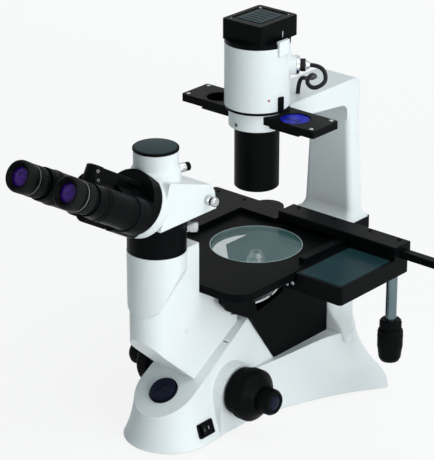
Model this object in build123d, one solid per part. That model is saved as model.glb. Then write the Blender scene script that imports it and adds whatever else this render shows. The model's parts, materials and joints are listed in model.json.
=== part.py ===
from build123d import *
import math
import os

# Inverted microscope. Millimetres. Origin on the table under the optical axis,
# +X to the user's right, -Y towards the user, +Z up.

# Base casting: plan of the foot at the table, then how far the flare draws in above it
FOOT_H = 3.0
FOOT_R = 10.0
FOOT_PEG_R = 4.0
DECK_Z = 60.0
MID_Z = 24.0
NOSE_R = 54.0
NOSE_Y = -155.0
WAIST_X = 50.0
WAIST_Y = -90.0
FLANK_X = 76.0
FLANK_Y = 14.0
CORNER_X = 125.0
CORNER_Y = 100.0
CORNER_R = 7.0
REAR_Y = 166.0
MID_INSET = (8.0, 6.0, 16.0, 33.0, 9.0)
DECK_INSET = (14.0, 10.0, 26.0, 57.0, 16.0)
BASE_WALL = 10.0
COVER_T = 2.0

# Inclined control panel on the front wedge
PANEL_SLOPE = math.radians(31.0)
DIAL_Y = -165.0
DIAL_Z = 60.0
WEDGE_REAR_Y = -57.0
WEDGE_TOP_HALF = 35.0
WEDGE_FOOT_Y = -15.0
DIAL_R = 17.5
DIAL_H = 6.0

# Column and head axis
COL_Y = -174.0
COL_R = 34.0
COL_FLAT = 25.0
COL_TOP = 242.0
COL_REAR = -131.0
COL_SHELF_Y = -75.0
COL_TAIL_Y = -64.0
COL_BORE_R = 22.0
COL_NOSE_R = 28.0
COL_NOSE_Y = -180.5
COL_NOSE_BLEND = 24.0
CHIN_Y = -141.0
CHIN_RISE = 0.9
CHIN_KNEE_Y = -190.0
CHIN_LIP_RISE = 1.15
RIM_Z = 197.0
RIM_RISE = 0.84
RIM_LEAN = 2.2

# Stage
STAGE_TOP = 190.0
PLATE_HALF = 85.5
PLATE_FRONT = -130.0
PLATE_REAR = 95.0
PLATE_T = 10.0
PLATE_FRONT_R = 25.0
GLASS_R = 55.0
GLASS_T = 4.0
GLASS_LIP = 3.0
FIT = 0.1

# Stage bracket under the stage
BRACKET_HALF = 41.0
BRACKET_WALL = 5.0
BRACKET_FRONT = -110.0
BRACKET_REAR = 86.0

# Focus drive
FOCUS_Y = -94.0
FOCUS_Z = 52.0
BOSS_R = 31.0
BOSS_HALF = 52.0
COARSE_R = 30.5
COARSE_W = 37.0
FINE_R = 15.0
FINE_W = 18.0
COARSE_SHAFT_R = 7.0
FINE_SHAFT_R = 3.5
PINION_R = 11.0
RACK_PITCH_R = 10.0
RACK_T = 8.0
RACK_HALF = 6.0
GUIDE_WALL = 5.0

# Turret with four objectives, tilted so that the one in use stands upright
TURRET_TILT = math.radians(12.0)
TURRET_R = 42.0
TURRET_RING = 3.0
OBJECTIVE_PITCH_R = 27.0
SHOULDER_DROP = 22.0
OBJECTIVES = ((11.5, 22.0), (10.0, 15.0), (11.0, 18.0), (11.5, 20.0))
LIGHT_BORE_R = 9.0

# Mechanical stage
SEAM_X = PLATE_HALF + 2.5
CARRIAGE_X = SEAM_X + 66.0
CARRIAGE_INNER = PLATE_HALF - 27.5
CARRIAGE_FRONT = -36.0
CARRIAGE_REAR = PLATE_REAR - 1.0
CARRIAGE_DROP = 12.0
Y_RAIL_X = PLATE_HALF - 15.5
Y_RAIL_HALF = 6.0
Y_RAIL_T = 7.0
RAIL_LEFT = -20.0
RAIL_FRONT = 66.0
RAIL_REAR = 96.0
RAIL_H = 15.6
BAR_Y = 80.0
BAR_HALF = 5.0
BAR_T = 9.0
BAR_END = CARRIAGE_X + 60.0
HOLDER_LEFT = -PLATE_HALF - 58.5
HOLDER_INNER_X = -PLATE_HALF + 8.5
HOLDER_INNER_Y = 63.0
HOLDER_FRONT = -25.0
HOLDER_T = 5.6
JAW_X = PLATE_HALF - 10.5
JAW_HALF = 5.0
JAW_FRONT = -8.0
DROP_X = CARRIAGE_X - 11.0
TUBE_SOCKET = 12.0
TUBE_RISE = 22.0
LOBE_OUT = 22.0
LOBE_R = 20.0
DROP_Y = 77.0
DROP_R = 6.7
DROP_LEN = 59.0
Y_KNOB_R = 12.4
Y_KNOB_H = 11.8
X_KNOB_R = 14.7
X_KNOB_H = 41.0

# Rear tower, pillar and arm
TOWER_FRONT = 89.0
TOWER_REAR = 146.0
TOWER_HALF = 42.0
TOWER_SPREAD = (28.0, 24.0, 15.8, 6.5, 1.6, 0.0)
FLARE_STEP = 11.0
PILLAR_FOOT_T = 15.0
PILLAR_FRONT = 135.0
PILLAR_REAR = 158.0
PILLAR_FLARE = 12.0
PILLAR_BASE_HALF = 36.0
ARM_HALF = 28.0
ARM_RISE = 174.0
ARM_T = 22.0
ARM_ROOT_T = 30.0
ARM_EYE_R = 33.0

# Filter slider, lamp house and condenser on the optical axis
SLIDER_HALF = 98.0
SLIDER_FRONT = -20.0
SLIDER_REAR = 26.0
SLIDER_T = 9.2
SLIDER_PITCH = 56.5
SLIDER_HOLE_R = 15.5
SLIDER_RUN = 0.2
FILTER_T = 3.0
ARM_ROOF = 3.0
GUIDE_T = 5.0
GUIDE_HALF = 72.0
LAMP_R = 38.0
LEVER_RISE = 17.0
LAMP_WALL = 3.0
LAMP_H = 75.0
SEAT_T = 3.0
CAP_X = 58.0
CAP_Y = 68.0
CAP_SHIFT_Y = 4.0
CAP_H = 28.0
CAP_DISC_T = 5.0
LUG_HALF = 9.0
LUG_H = 8.0
PLUG_ANGLE = math.radians(36.0)
PLUG_RISE = 47.0
PLUG_R = 7.0
LEAD_R = 2.5
CONDENSER_R = 26.2
CONDENSER_LEN = 76.0
CONDENSER_BORE_R = 21.0

# Trinocular head
RING_R = 33.6
RING_H = 38.0
HEAD_HALF = 34.0
HEAD_H = 53.0
HEAD_LEAN = 16.0
HEAD_FRONT = -205.0
HEAD_REAR = -112.0
HEAD_REAR_H = 31.0
PORT_R = 25.3
PORT_FLANGE_R = 28.0
PORT_SEAT = 36.0
PORT_FLANGE_H = 26.0
PORT_TUBE_H = 19.0
PORT_BORE_R = 19.0
CAP_T = 3.0
TUBE_TILT = math.radians(30.0)
HUB_Y = -205.0
HUB_RISE = 25.0
HUB_R = 36.0
HUB_FRONT = 18.0
HUB_START = 3.0
HEAD_BOSS_R = 36.5
HEAD_BOSS_BACK = 10.0
BARREL_R = 10.0
PUPIL_HALF = 35.0
PUPIL_ARM = 37.5
TUBE_R = 19.0
BOSS_START = 40.0
DRUM_END = 58.0
ROOF_SIDE = 41.0
ROOF_BACK = 5.5
ROOF_FRONT_SIDE = 38.3
ROOF_FRONT = -3.5
HOUSING_LOW = 38.0
HOUSING_FOOT = 29.0
HOUSING_ROUND = 13.0
ROOF_ROUND = 1.5
BRIDGE_HALF = 11.0
BRIDGE_TOP = 24.0
TUBE_END = 112.0
EYE_END = 162.0
EYE_R = 17.25
EYE_BORE_R = 11.5
LENS_R = 10.8
LENS_SEAT = 8.0
SWING_GAP = math.radians(24.0)
DISC_T = 5.8
RUN = 0.2


def block(x0, x1, y0, y1, z0, z1):
    """Rectangular block between two corners."""
    middle = Pos((x0 + x1) / 2, (y0 + y1) / 2, (z0 + z1) / 2)
    return middle * Box(x1 - x0, y1 - y0, z1 - z0)


def slab(x0, x1, y0, y1, z0, z1, radius):
    """Block with rounded upright edges."""
    middle = Pos((x0 + x1) / 2, (y0 + y1) / 2, z0)
    return middle * extrude(RectangleRounded(x1 - x0, y1 - y0, radius), z1 - z0)


def post(radius, z0, z1, x=0.0, y=0.0):
    """Upright cylinder."""
    return Pos(x, y, (z0 + z1) / 2) * Cylinder(radius, z1 - z0)


def rod(start, end, radius):
    """Round bar from one point to another."""
    start = Vector(start)
    span = Vector(end) - start
    return extrude(Plane(origin=start, z_dir=span) * Circle(radius), span.length)


def turned(profile, place=Location()):
    """Solid of revolution from (radius, height) pairs, about the Z axis of its place."""
    outline = Polyline(*[(r, 0, h) for r, h in profile], close=True)
    return place * revolve(make_face(outline), Axis.Z)


def side_profile(points, half):
    """Outline in the YZ plane, spread to both sides of the middle plane."""
    outline = Polyline(*[(-half, y, z) for y, z in points], close=True)
    return extrude(make_face(outline), 2 * half, dir=(1, 0, 0))


def save(name, *solids):
    """Write one node: a single solid, or a group of separate ones."""
    shape = solids[0] if len(solids) == 1 else Compound(list(solids))
    export_step(shape, f"parts/{name}.step")


def panel_z(y):
    """Height of the inclined panel plane."""
    return DIAL_Z + (y - DIAL_Y) * math.tan(PANEL_SLOPE)


os.makedirs("parts", exist_ok=True)
BASE_Z = FOOT_H
STAGE_BOTTOM = STAGE_TOP - PLATE_T
HEAD_Z = COL_TOP + RING_H
CARRIAGE_TOP = STAGE_TOP + 0.4
CARRIAGE_BOTTOM = STAGE_BOTTOM - CARRIAGE_DROP
SHOULDER_Z = STAGE_BOTTOM - SHOULDER_DROP
ARM_TOP = STAGE_TOP + ARM_RISE
LAMP_TOP = ARM_TOP + SEAT_T + LAMP_H
CAP_TOP = LAMP_TOP + CAP_H
PLUG_Z = ARM_TOP + SEAT_T + PLUG_RISE
PORT_BASE_Z = HEAD_Z + PORT_SEAT
PORT_FLANGE_TOP = PORT_BASE_Z + PORT_FLANGE_H
PORT_TOP = PORT_FLANGE_TOP + PORT_TUBE_H
HUB_Z = HEAD_Z + HUB_RISE


# Base casting
def base_section(z, inset):
    """Plan of the casting at one height: round nose, waist, flared flanks, bowed rear."""
    nose = NOSE_R - inset[0]
    corner = (CORNER_X - inset[3], CORNER_Y)
    points = [(nose, NOSE_Y), (WAIST_X - inset[1], WAIST_Y), (FLANK_X - inset[2], FLANK_Y), corner]
    right = Spline(*points, tangents=[(0, 1), (0.62, 0.78)])
    left = mirror(right, Plane.YZ)
    front = ThreePointArc((-nose, NOSE_Y), (0, NOSE_Y - nose), (nose, NOSE_Y))
    rear = ThreePointArc(corner, (0, REAR_Y - inset[4]), (-corner[0], corner[1]))
    plan = make_face([front, right, rear, left])
    corners = plan.vertices().group_by(Axis.Y)[-1]
    return Pos(0, 0, z) * fillet(corners, CORNER_R)


def wedge_section(z, half):
    """Plan of the front wedge: round nose and straight sides."""
    front = ThreePointArc((-half, NOSE_Y), (0, NOSE_Y - half), (half, NOSE_Y))
    sides = Polyline((half, NOSE_Y), (half, WEDGE_FOOT_Y), (-half, WEDGE_FOOT_Y), (-half, NOSE_Y))
    return Pos(0, 0, z) * make_face([front, sides])


def tower_section(z, spread):
    """Plan of the rear tower: flat front, flanks spread towards the foot, rear bowed like the base."""
    half = TOWER_HALF + spread
    flank_y = TOWER_REAR - 8 - 1.45 * spread
    rear = ThreePointArc((half, flank_y), (0, TOWER_REAR + 0.15 * spread), (-half, flank_y))
    front = Polyline((-half, flank_y), (-half, TOWER_FRONT), (half, TOWER_FRONT), (half, flank_y))
    plan = make_face([rear, front])
    return Pos(0, 0, z) * fillet(plan.vertices(), 8 - 0.17 * spread)


flare = loft([base_section(BASE_Z, (0, 0, 0, 0, 0)), base_section(MID_Z, MID_INSET),
              base_section(DECK_Z, DECK_INSET)])
wedge_top_z = panel_z(WEDGE_REAR_Y)
wedge = loft([wedge_section(DECK_Z - 2, NOSE_R - DECK_INSET[0]),
              wedge_section(wedge_top_z + 1, WEDGE_TOP_HALF)], ruled=True)
wedge -= side_profile([(WEDGE_FOOT_Y, DECK_Z), (WEDGE_REAR_Y, wedge_top_z),
                       (WEDGE_REAR_Y, wedge_top_z + 20), (WEDGE_FOOT_Y + 20, wedge_top_z + 20),
                       (WEDGE_FOOT_Y + 20, DECK_Z)], CORNER_X)
tower_z = STAGE_TOP - 4 - PILLAR_FOOT_T
flare_low = DECK_Z - 10
flare_top = flare_low + FLARE_STEP * (len(TOWER_SPREAD) - 1)
tower = loft([tower_section(flare_low + FLARE_STEP * index, spread) for index, spread in enumerate(TOWER_SPREAD)])
tower += extrude(tower_section(flare_top, 0), tower_z - flare_top)
boss_bar = extrude(Plane.YZ * (Pos(FOCUS_Y, FOCUS_Z) * Circle(BOSS_R)), BOSS_HALF, both=True)
boss_foot = block(-BOSS_HALF, BOSS_HALF, FOCUS_Y - BOSS_R, FOCUS_Y + BOSS_R, BASE_Z, FOCUS_Z)
casting = flare + wedge + tower + boss_bar + boss_foot
front_limit = NOSE_Y - NOSE_R - 10
casting -= side_profile([(front_limit, panel_z(front_limit)), (WEDGE_REAR_Y, wedge_top_z),
                         (WEDGE_REAR_Y, STAGE_TOP), (front_limit, STAGE_TOP)], CORNER_X)

cavity_half = WAIST_X - DECK_INSET[1] - BASE_WALL
cavity_front = WEDGE_FOOT_Y - 40
cavity_rear = REAR_Y - DECK_INSET[4] - 25
casting -= slab(-cavity_half, cavity_half, cavity_front, cavity_rear, BASE_Z, DECK_Z - BASE_WALL, 8)
cover_edge = 4.0
cover_plan = (-cavity_half - cover_edge, cavity_half + cover_edge, cavity_front - cover_edge,
              cavity_rear + cover_edge)
base_plate = slab(*cover_plan, BASE_Z, BASE_Z + COVER_T, 10)
casting -= base_plate

rack_y = FOCUS_Y + RACK_PITCH_R
guide_half = RACK_HALF + GUIDE_WALL
guide_front = rack_y - 2
guide_rear = rack_y + RACK_T + 10
guide_top = FOCUS_Z + 52
channel = block(-guide_half, guide_half, FOCUS_Y - PINION_R - 1, guide_rear, FOCUS_Z - 28, STAGE_TOP)
channel += block(-guide_half, guide_half, FOCUS_Y - PINION_R - 1, WEDGE_FOOT_Y, guide_top, STAGE_TOP)
casting -= channel
casting -= rod((-BOSS_HALF - 1, FOCUS_Y, FOCUS_Z), (BOSS_HALF + 1, FOCUS_Y, FOCUS_Z), COARSE_SHAFT_R + 0.05)

dial_frame = Plane(origin=(0, DIAL_Y, DIAL_Z), x_dir=(1, 0, 0),
                   z_dir=(0, -math.sin(PANEL_SLOPE), math.cos(PANEL_SLOPE)))
dial_shaft_r = 3.0
dial_shaft = 14.0
casting -= dial_frame.location * post(dial_shaft_r + 0.05, -dial_shaft - 1, 1)

# Rocker switch set into the right side of the nose
SWITCH_Y = -147.0
SWITCH_Z = 20.0
SWITCH_HALF_Y = 12.5
SWITCH_HALF_Z = 8.5
SWITCH_DRAFT = math.radians(20.0)
SWITCH_DEPTH = 13.0
SWITCH_RIM = 2.2
ROCKER_TILT = 8.0
PIVOT_DEPTH = 3.0
PIVOT_R = 1.5
mid_nose = NOSE_R - MID_INSET[0]
switch_x = mid_nose + 1.5
switch_frame = Plane(origin=(switch_x, SWITCH_Y, SWITCH_Z), x_dir=(0, 1, 0),
                     z_dir=(math.cos(SWITCH_DRAFT), 0, math.sin(SWITCH_DRAFT)))
switch_body = slab(-SWITCH_HALF_Y, SWITCH_HALF_Y, -SWITCH_HALF_Z, SWITCH_HALF_Z, -SWITCH_DEPTH, 2.0, 1.5)
casting -= switch_frame.location * switch_body
well_y = SWITCH_HALF_Y - SWITCH_RIM
well_z = SWITCH_HALF_Z - SWITCH_RIM
switch_bezel = switch_body - block(-well_y, well_y, -well_z, well_z, -SWITCH_DEPTH + 2, 3)
pivot_half = well_z + SWITCH_RIM / 2
pivot_bar = rod((0, -pivot_half, -PIVOT_DEPTH), (0, pivot_half, -PIVOT_DEPTH), PIVOT_R)
switch_bezel -= rod((0, -pivot_half, -PIVOT_DEPTH), (0, pivot_half, -PIVOT_DEPTH), PIVOT_R + 0.05)
rocker_outline = [(-well_y + 4, -3.5), (well_y - 4, -3.5), (well_y - 1.2, 6.0), (0, 4.4), (-well_y + 1.2, 6.0)]
rocker_half = well_z - 0.4
rocker_face = make_face(Polyline(*[(x, -rocker_half, z) for x, z in rocker_outline], close=True))
rocker = extrude(rocker_face, 2 * rocker_half, dir=(0, 1, 0))
rocker = Pos(0, 0, -PIVOT_DEPTH) * Rot(0, ROCKER_TILT, 0) * rocker + pivot_bar

# Mains inlet at the rear
INLET_X = -38.0
INLET_HALF = 15.0
INLET_Z = 30.0
INLET_HALF_Z = 11.0
INLET_DEPTH = 26.0
inlet_face = REAR_Y - MID_INSET[4] - 5.0
inlet = block(INLET_X - INLET_HALF, INLET_X + INLET_HALF, inlet_face - INLET_DEPTH, inlet_face,
              INLET_Z - INLET_HALF_Z, INLET_Z + INLET_HALF_Z)
casting -= inlet
inlet_rim = 3.0
inlet -= block(INLET_X - INLET_HALF + inlet_rim, INLET_X + INLET_HALF - inlet_rim, inlet_face - 16,
               inlet_face + 1, INLET_Z - INLET_HALF_Z + inlet_rim, INLET_Z + INLET_HALF_Z - inlet_rim)
pins = [block(INLET_X + x - 1, INLET_X + x + 1, inlet_face - 16, inlet_face - 4, INLET_Z - 2, INLET_Z + 2)
        for x in (-7, 0, 7)]
for pin in pins:
    inlet += pin

foot_places = ((-34, NOSE_Y), (34, NOSE_Y), (-92, CORNER_Y - 16), (92, CORNER_Y - 16), (0, 0))
peg_h = 4.0
feet = [post(FOOT_R, 0, FOOT_H, x, y) + post(FOOT_PEG_R, 0, FOOT_H + peg_h, x, y) for x, y in foot_places]
for x, y in foot_places:
    casting -= post(FOOT_PEG_R, BASE_Z - 1, FOOT_H + peg_h, x, y)
base_plate -= post(FOOT_PEG_R, BASE_Z - 1, FOOT_H + peg_h)
save("base_casting", casting)
save("base_plate", base_plate)
save("rubber_feet", *feet)
save("switch_bezel", switch_frame.location * switch_bezel)
save("rocker", switch_frame.location * rocker)
save("power_inlet", inlet)
core_half = cavity_half - 8
core_front = WEDGE_FOOT_Y + 35
transformer = slab(-core_half, core_half, core_front, core_front + 2.5 * core_half, BASE_Z + COVER_T,
                   DECK_Z - BASE_WALL - 9, 3)
save("transformer", transformer)

dial = turned([(0, 0.2), (DIAL_R, 0.2), (DIAL_R, 1.8), (DIAL_R - 2, 2.4), (DIAL_R - 2.6, DIAL_H - 1),
               (DIAL_R - 3.6, DIAL_H), (DIAL_R - 6, DIAL_H), (0, DIAL_H - 1.6)])
dial += post(dial_shaft_r, -dial_shaft, 1)
save("brightness_dial", dial_frame.location * dial)


# Column housing: round tube above, smooth-nosed flat-sided block below the slanting shoulder, chin under the front
def column_plan():
    """Plan of the lower column: a round nose that runs smoothly into two flat flanks."""
    crease_y = COL_NOSE_Y - math.sqrt(COL_NOSE_R**2 - COL_FLAT**2)
    nose = ThreePointArc((-COL_FLAT, crease_y), (0, COL_NOSE_Y - COL_NOSE_R), (COL_FLAT, crease_y))
    flanks = Polyline((COL_FLAT, crease_y), (COL_FLAT, COL_TAIL_Y), (-COL_FLAT, COL_TAIL_Y), (-COL_FLAT, crease_y))
    plan = make_face([nose, flanks])
    return fillet(plan.vertices().group_by(Axis.Y)[0], COL_NOSE_BLEND)


def rim_z(y):
    """Height of the slanting shoulder where it meets the flat flank."""
    return RIM_Z + (y - COL_Y) * RIM_RISE


def column():
    tail_top = panel_z(COL_TAIL_Y) + 8
    front = COL_Y - COL_R - 5
    knee_z = panel_z(CHIN_Y) + (CHIN_Y - CHIN_KNEE_Y) * CHIN_RISE
    lip_z = knee_z + (CHIN_KNEE_Y - front) * CHIN_LIP_RISE
    outline = [(front, rim_z(front)), (COL_Y, RIM_Z), (COL_Y, COL_TOP), (COL_REAR, COL_TOP),
               (COL_REAR, STAGE_BOTTOM), (COL_SHELF_Y, STAGE_BOTTOM), (COL_SHELF_Y, tail_top + 4),
               (COL_TAIL_Y, tail_top), (COL_TAIL_Y, panel_z(COL_TAIL_Y)), (CHIN_Y, panel_z(CHIN_Y)),
               (CHIN_KNEE_Y, knee_z), (front, lip_z)]
    body = extrude(column_plan(), COL_TOP) & side_profile(outline, COL_FLAT)
    tube = post(COL_R, DECK_Z, COL_TOP, 0, COL_Y)
    low = front
    high = COL_Y + COL_R + 5
    tube -= side_profile([(low, rim_z(low)), (high, rim_z(high)), (high, 0), (low, 0)], COL_R + 2)
    slope = Vector(0, 1, RIM_RISE)
    reach = COL_R + 2
    for side in (-1, 1):
        lip = [(COL_FLAT, -1), (COL_FLAT, 0), (reach, (reach - COL_FLAT) * RIM_LEAN), (reach, -1)]
        wedge_face = make_face(Polyline(*[(side * x, low, rim_z(low) + z) for x, z in lip], close=True))
        tube -= extrude(wedge_face, slope.length * (high - low), dir=slope.normalized())
    body += tube
    body -= post(COL_BORE_R, COL_TOP - 80, COL_TOP + 1, 0, COL_Y)
    return body - channel


save("column_housing", column())
lens_z = COL_TOP - 40
tube_lens = turned([(0, lens_z), (COL_BORE_R, lens_z), (COL_BORE_R, lens_z + 6), (0, lens_z + 9)], Pos(0, COL_Y, 0))

# Stage
stage = slab(-PLATE_HALF, PLATE_HALF, PLATE_FRONT, PLATE_REAR, STAGE_BOTTOM, STAGE_TOP, 8)
square = block(-PLATE_HALF, PLATE_HALF, PLATE_FRONT, PLATE_FRONT + PLATE_FRONT_R, STAGE_BOTTOM, STAGE_TOP)
corner_y = PLATE_FRONT + PLATE_FRONT_R
corner_x = PLATE_HALF - PLATE_FRONT_R
for side in (-1, 1):
    square -= block(*sorted((side * corner_x, side * PLATE_HALF)), PLATE_FRONT, corner_y, STAGE_BOTTOM, STAGE_TOP)
    square += post(PLATE_FRONT_R, STAGE_BOTTOM, STAGE_TOP, side * corner_x, corner_y)
stage -= block(-PLATE_HALF, PLATE_HALF, PLATE_FRONT, corner_y, STAGE_BOTTOM, STAGE_TOP)
stage += square
stage -= post(GLASS_R - GLASS_LIP, STAGE_BOTTOM - 1, STAGE_TOP + 1)
stage -= post(GLASS_R + FIT, STAGE_TOP - GLASS_T, STAGE_TOP + 1)
save("stage_plate", stage)
save("stage_glass", post(GLASS_R, STAGE_TOP - GLASS_T, STAGE_TOP))
y_rail = block(Y_RAIL_X - Y_RAIL_HALF, Y_RAIL_X + Y_RAIL_HALF, CARRIAGE_FRONT - 60, PLATE_REAR - 2,
               STAGE_BOTTOM - Y_RAIL_T, STAGE_BOTTOM)
save("stage_y_rail", y_rail)

# Stage bracket: open box that carries the plate and covers the nosepiece
bracket_outline = [(BRACKET_FRONT, STAGE_BOTTOM), (BRACKET_FRONT, STAGE_BOTTOM - 17),
                   (BRACKET_FRONT + 12, STAGE_BOTTOM - 31), (WEDGE_REAR_Y, wedge_top_z),
                   (WEDGE_FOOT_Y, DECK_Z), (BRACKET_REAR, DECK_Z), (BRACKET_REAR, STAGE_BOTTOM)]
bracket = side_profile(bracket_outline, BRACKET_HALF)
inner_half = BRACKET_HALF - BRACKET_WALL
bracket -= block(-inner_half, inner_half, BRACKET_FRONT - 1, BRACKET_REAR - BRACKET_WALL,
                 DECK_Z + BRACKET_WALL, STAGE_BOTTOM + 1)
turret_u = Vector(0, -math.sin(TURRET_TILT), math.cos(TURRET_TILT))
turret_e = Vector(0, math.cos(TURRET_TILT), math.sin(TURRET_TILT))
turret_at = Vector(0, 0, SHOULDER_Z) - turret_e * OBJECTIVE_PITCH_R
turret_frame = Plane(origin=turret_at, x_dir=(1, 0, 0), z_dir=turret_u)
window_r = TURRET_R + TURRET_RING + 3
focus_run = 4.0
bracket -= turret_frame.location * post(window_r, -9 - 2 * focus_run, 24 + 2 * focus_run)
save("stage_bracket", bracket)
mirror_side = 30.0
beam_z = DECK_Z + BRACKET_WALL + mirror_side / 2
fold = extrude(Plane.YZ * make_face(Polyline((mirror_side / 2, beam_z - mirror_side / 2),
                                             (mirror_side / 2, beam_z + mirror_side / 2),
                                             (-mirror_side / 2, beam_z - mirror_side / 2), close=True)),
               mirror_side / 2, both=True)
save("relay_optics", fold, tube_lens)

# Focus drive: guide, rack and shafts
rack_top = SHOULDER_Z - 18
rack_low = FOCUS_Z - 20
guide = block(-guide_half, guide_half, guide_front, guide_rear, FOCUS_Z + PINION_R + 3, guide_top)
guide -= block(-RACK_HALF - FIT, RACK_HALF + FIT, guide_front - 1, rack_y + RACK_T + FIT, 0, STAGE_TOP)
save("focus_guide", guide)
tooth_pitch = 3.0
rack = block(-RACK_HALF, RACK_HALF, rack_y + 1.2, rack_y + RACK_T, rack_low, rack_top)
for index in range(int(40 / tooth_pitch)):
    z = rack_low + 2 + index * tooth_pitch
    rack += side_profile([(rack_y + 1.2, z - 1.0), (rack_y, z - 0.4), (rack_y, z + 0.4), (rack_y + 1.2, z + 1.0)],
                         RACK_HALF)
save("focus_rack", rack)
coarse_inner = BOSS_HALF + 1.0
coarse_outer = coarse_inner + COARSE_W
fine_outer = coarse_outer + FINE_W
focus_frame = Plane(origin=(0, FOCUS_Y, FOCUS_Z), x_dir=(0, 1, 0), z_dir=(1, 0, 0))


def mirrored_pair(solid):
    """A piece on the right side and its twin on the left."""
    return [solid, mirror(solid, Plane.YZ)]


collar_r = COARSE_R - 2.5
coarse_profile = [(COARSE_SHAFT_R, coarse_inner), (collar_r - 3, coarse_inner), (collar_r, coarse_inner + 2),
                  (collar_r, coarse_inner + 11), (COARSE_R, coarse_inner + 12), (COARSE_R, coarse_outer - 11),
                  (COARSE_R - 1.5, coarse_outer - 9), (FINE_R + 3, coarse_outer), (COARSE_SHAFT_R, coarse_outer)]
coarse_knob = turned(coarse_profile, focus_frame.location)
save("coarse_knobs", *mirrored_pair(coarse_knob))
coarse_shaft = turned([(FINE_SHAFT_R + 0.05, -coarse_outer), (COARSE_SHAFT_R, -coarse_outer),
                       (COARSE_SHAFT_R, coarse_outer), (FINE_SHAFT_R + 0.05, coarse_outer)], focus_frame.location)
pinion_teeth = 20
pinion = post(RACK_PITCH_R - 1.4, -RACK_HALF, RACK_HALF)
for index in range(pinion_teeth):
    tooth = block(RACK_PITCH_R - 2, RACK_PITCH_R - 0.3, -0.5, 0.5, -RACK_HALF, RACK_HALF)
    pinion += Rot(0, 0, index * 360 / pinion_teeth) * tooth
pinion -= post(COARSE_SHAFT_R - 0.5, -RACK_HALF - 1, RACK_HALF + 1)
coarse_shaft += focus_frame.location * pinion
save("coarse_shaft", coarse_shaft)
fine_profile = [(FINE_SHAFT_R, coarse_outer + 0.4), (FINE_R - 2, coarse_outer + 0.4),
                (FINE_R, coarse_outer + 2), (FINE_R, fine_outer - 3), (FINE_R - 2, fine_outer),
                (FINE_R - 5, fine_outer), (FINE_R - 6, fine_outer - 1.5), (FINE_SHAFT_R, fine_outer - 1.5)]
fine_knob = turned(fine_profile, focus_frame.location)
fine_shaft = rod((-fine_outer + 1.5, FOCUS_Y, FOCUS_Z), (fine_outer - 1.5, FOCUS_Y, FOCUS_Z), FINE_SHAFT_R)
save("fine_focus", *mirrored_pair(fine_knob), fine_shaft)

# Nosepiece: carrier on the rack, turret and its ring, objectives
ring_low = -8.0
carrier_top = ring_low - 0.4
carrier_t = 11.0
carrier_half = 24.0
reach = (turret_at.Y - rack_y - RACK_T) / math.cos(TURRET_TILT) + 4
neck_half = RACK_HALF + 4
carrier = slab(-carrier_half, carrier_half, -24, OBJECTIVE_PITCH_R + 14, carrier_top - carrier_t, carrier_top, 9)
carrier += block(-neck_half, neck_half, -reach, 0, carrier_top - carrier_t, carrier_top)
carrier = turret_frame.location * carrier
yoke_z = rack_top - 24
carrier += block(-neck_half, neck_half, rack_y + RACK_T, rack_y + RACK_T + 9, yoke_z, rack_top)
carrier -= block(-carrier_half, carrier_half, rack_y - 20, rack_y + RACK_T, 0, STAGE_TOP)
carrier -= turret_frame.location * post(TURRET_R + TURRET_RING + 2, carrier_top, STAGE_TOP)
carrier -= post(LIGHT_BORE_R, 0, STAGE_TOP)
pivot_r = 6.0
carrier += turret_frame.location * post(pivot_r, carrier_top - 1, 0)
save("nosepiece_carrier", carrier)
cone = math.tan(TURRET_TILT)
turret = turned([(pivot_r + 0.05, ring_low), (TURRET_R, ring_low), (TURRET_R, -cone * (TURRET_R - OBJECTIVE_PITCH_R)),
                 (pivot_r + 4, cone * (OBJECTIVE_PITCH_R - pivot_r - 4)),
                 (pivot_r + 0.05, cone * (OBJECTIVE_PITCH_R - pivot_r - 4))])
objective_solids = []
for index, (radius, length) in enumerate(OBJECTIVES):
    turn = Rot(0, 0, 90 + index * 360 / len(OBJECTIVES))
    seat = turn * Pos(OBJECTIVE_PITCH_R, 0, 0) * Rot(0, math.degrees(TURRET_TILT), 0)
    profile = [(LIGHT_BORE_R - 2, 0), (radius, 0), (radius, length * 0.62), (radius - 1, length * 0.62 + 1),
               (radius - 1, length * 0.78), (radius - 4.5, length), (LIGHT_BORE_R - 5, length),
               (LIGHT_BORE_R - 5, length - 2), (LIGHT_BORE_R - 2, length - 4)]
    objective_solids.append(turned(profile, turret_frame.location * seat))
    turret -= seat * post(LIGHT_BORE_R - 2, -20, 10)
turret = turret_frame.location * turret
save("turret", turret)
ring_top = ring_low + 7
save("turret_ring", turned([(TURRET_R, ring_low), (TURRET_R + TURRET_RING, ring_low + 1),
                            (TURRET_R + TURRET_RING, ring_top - 3.5), (TURRET_R, ring_top - 2.5)],
                           turret_frame.location))
save("objectives", *objective_solids)

# Mechanical stage: carriage on the side of the plate, cross rail, specimen holder, drop knobs
carriage = slab(CARRIAGE_INNER, CARRIAGE_X, CARRIAGE_FRONT, CARRIAGE_REAR, CARRIAGE_BOTTOM, STAGE_BOTTOM - 0.4, 4)
carriage += slab(SEAM_X, CARRIAGE_X, CARRIAGE_FRONT, CARRIAGE_REAR, CARRIAGE_BOTTOM, CARRIAGE_TOP, 4)
carriage -= block(Y_RAIL_X - Y_RAIL_HALF - FIT, Y_RAIL_X + Y_RAIL_HALF + FIT, CARRIAGE_FRONT - 1,
                  CARRIAGE_REAR + 1, STAGE_BOTTOM - Y_RAIL_T - FIT, STAGE_BOTTOM)
carriage -= post(DROP_R, CARRIAGE_BOTTOM - 1, CARRIAGE_BOTTOM + TUBE_SOCKET, DROP_X, DROP_Y)
save("carriage_plate", carriage)
rail_top = CARRIAGE_TOP + RAIL_H
bar_bottom = CARRIAGE_TOP + 0.6
bar_top = bar_bottom + BAR_T
holder_bottom = STAGE_TOP + 0.6
holder_top = holder_bottom + HOLDER_T
rail = block(RAIL_LEFT, CARRIAGE_X, RAIL_FRONT, RAIL_REAR, CARRIAGE_TOP, rail_top)
rail = fillet(rail.edges().filter_by(Axis.X).group_by(Axis.Z)[-1], 1.5)
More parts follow.
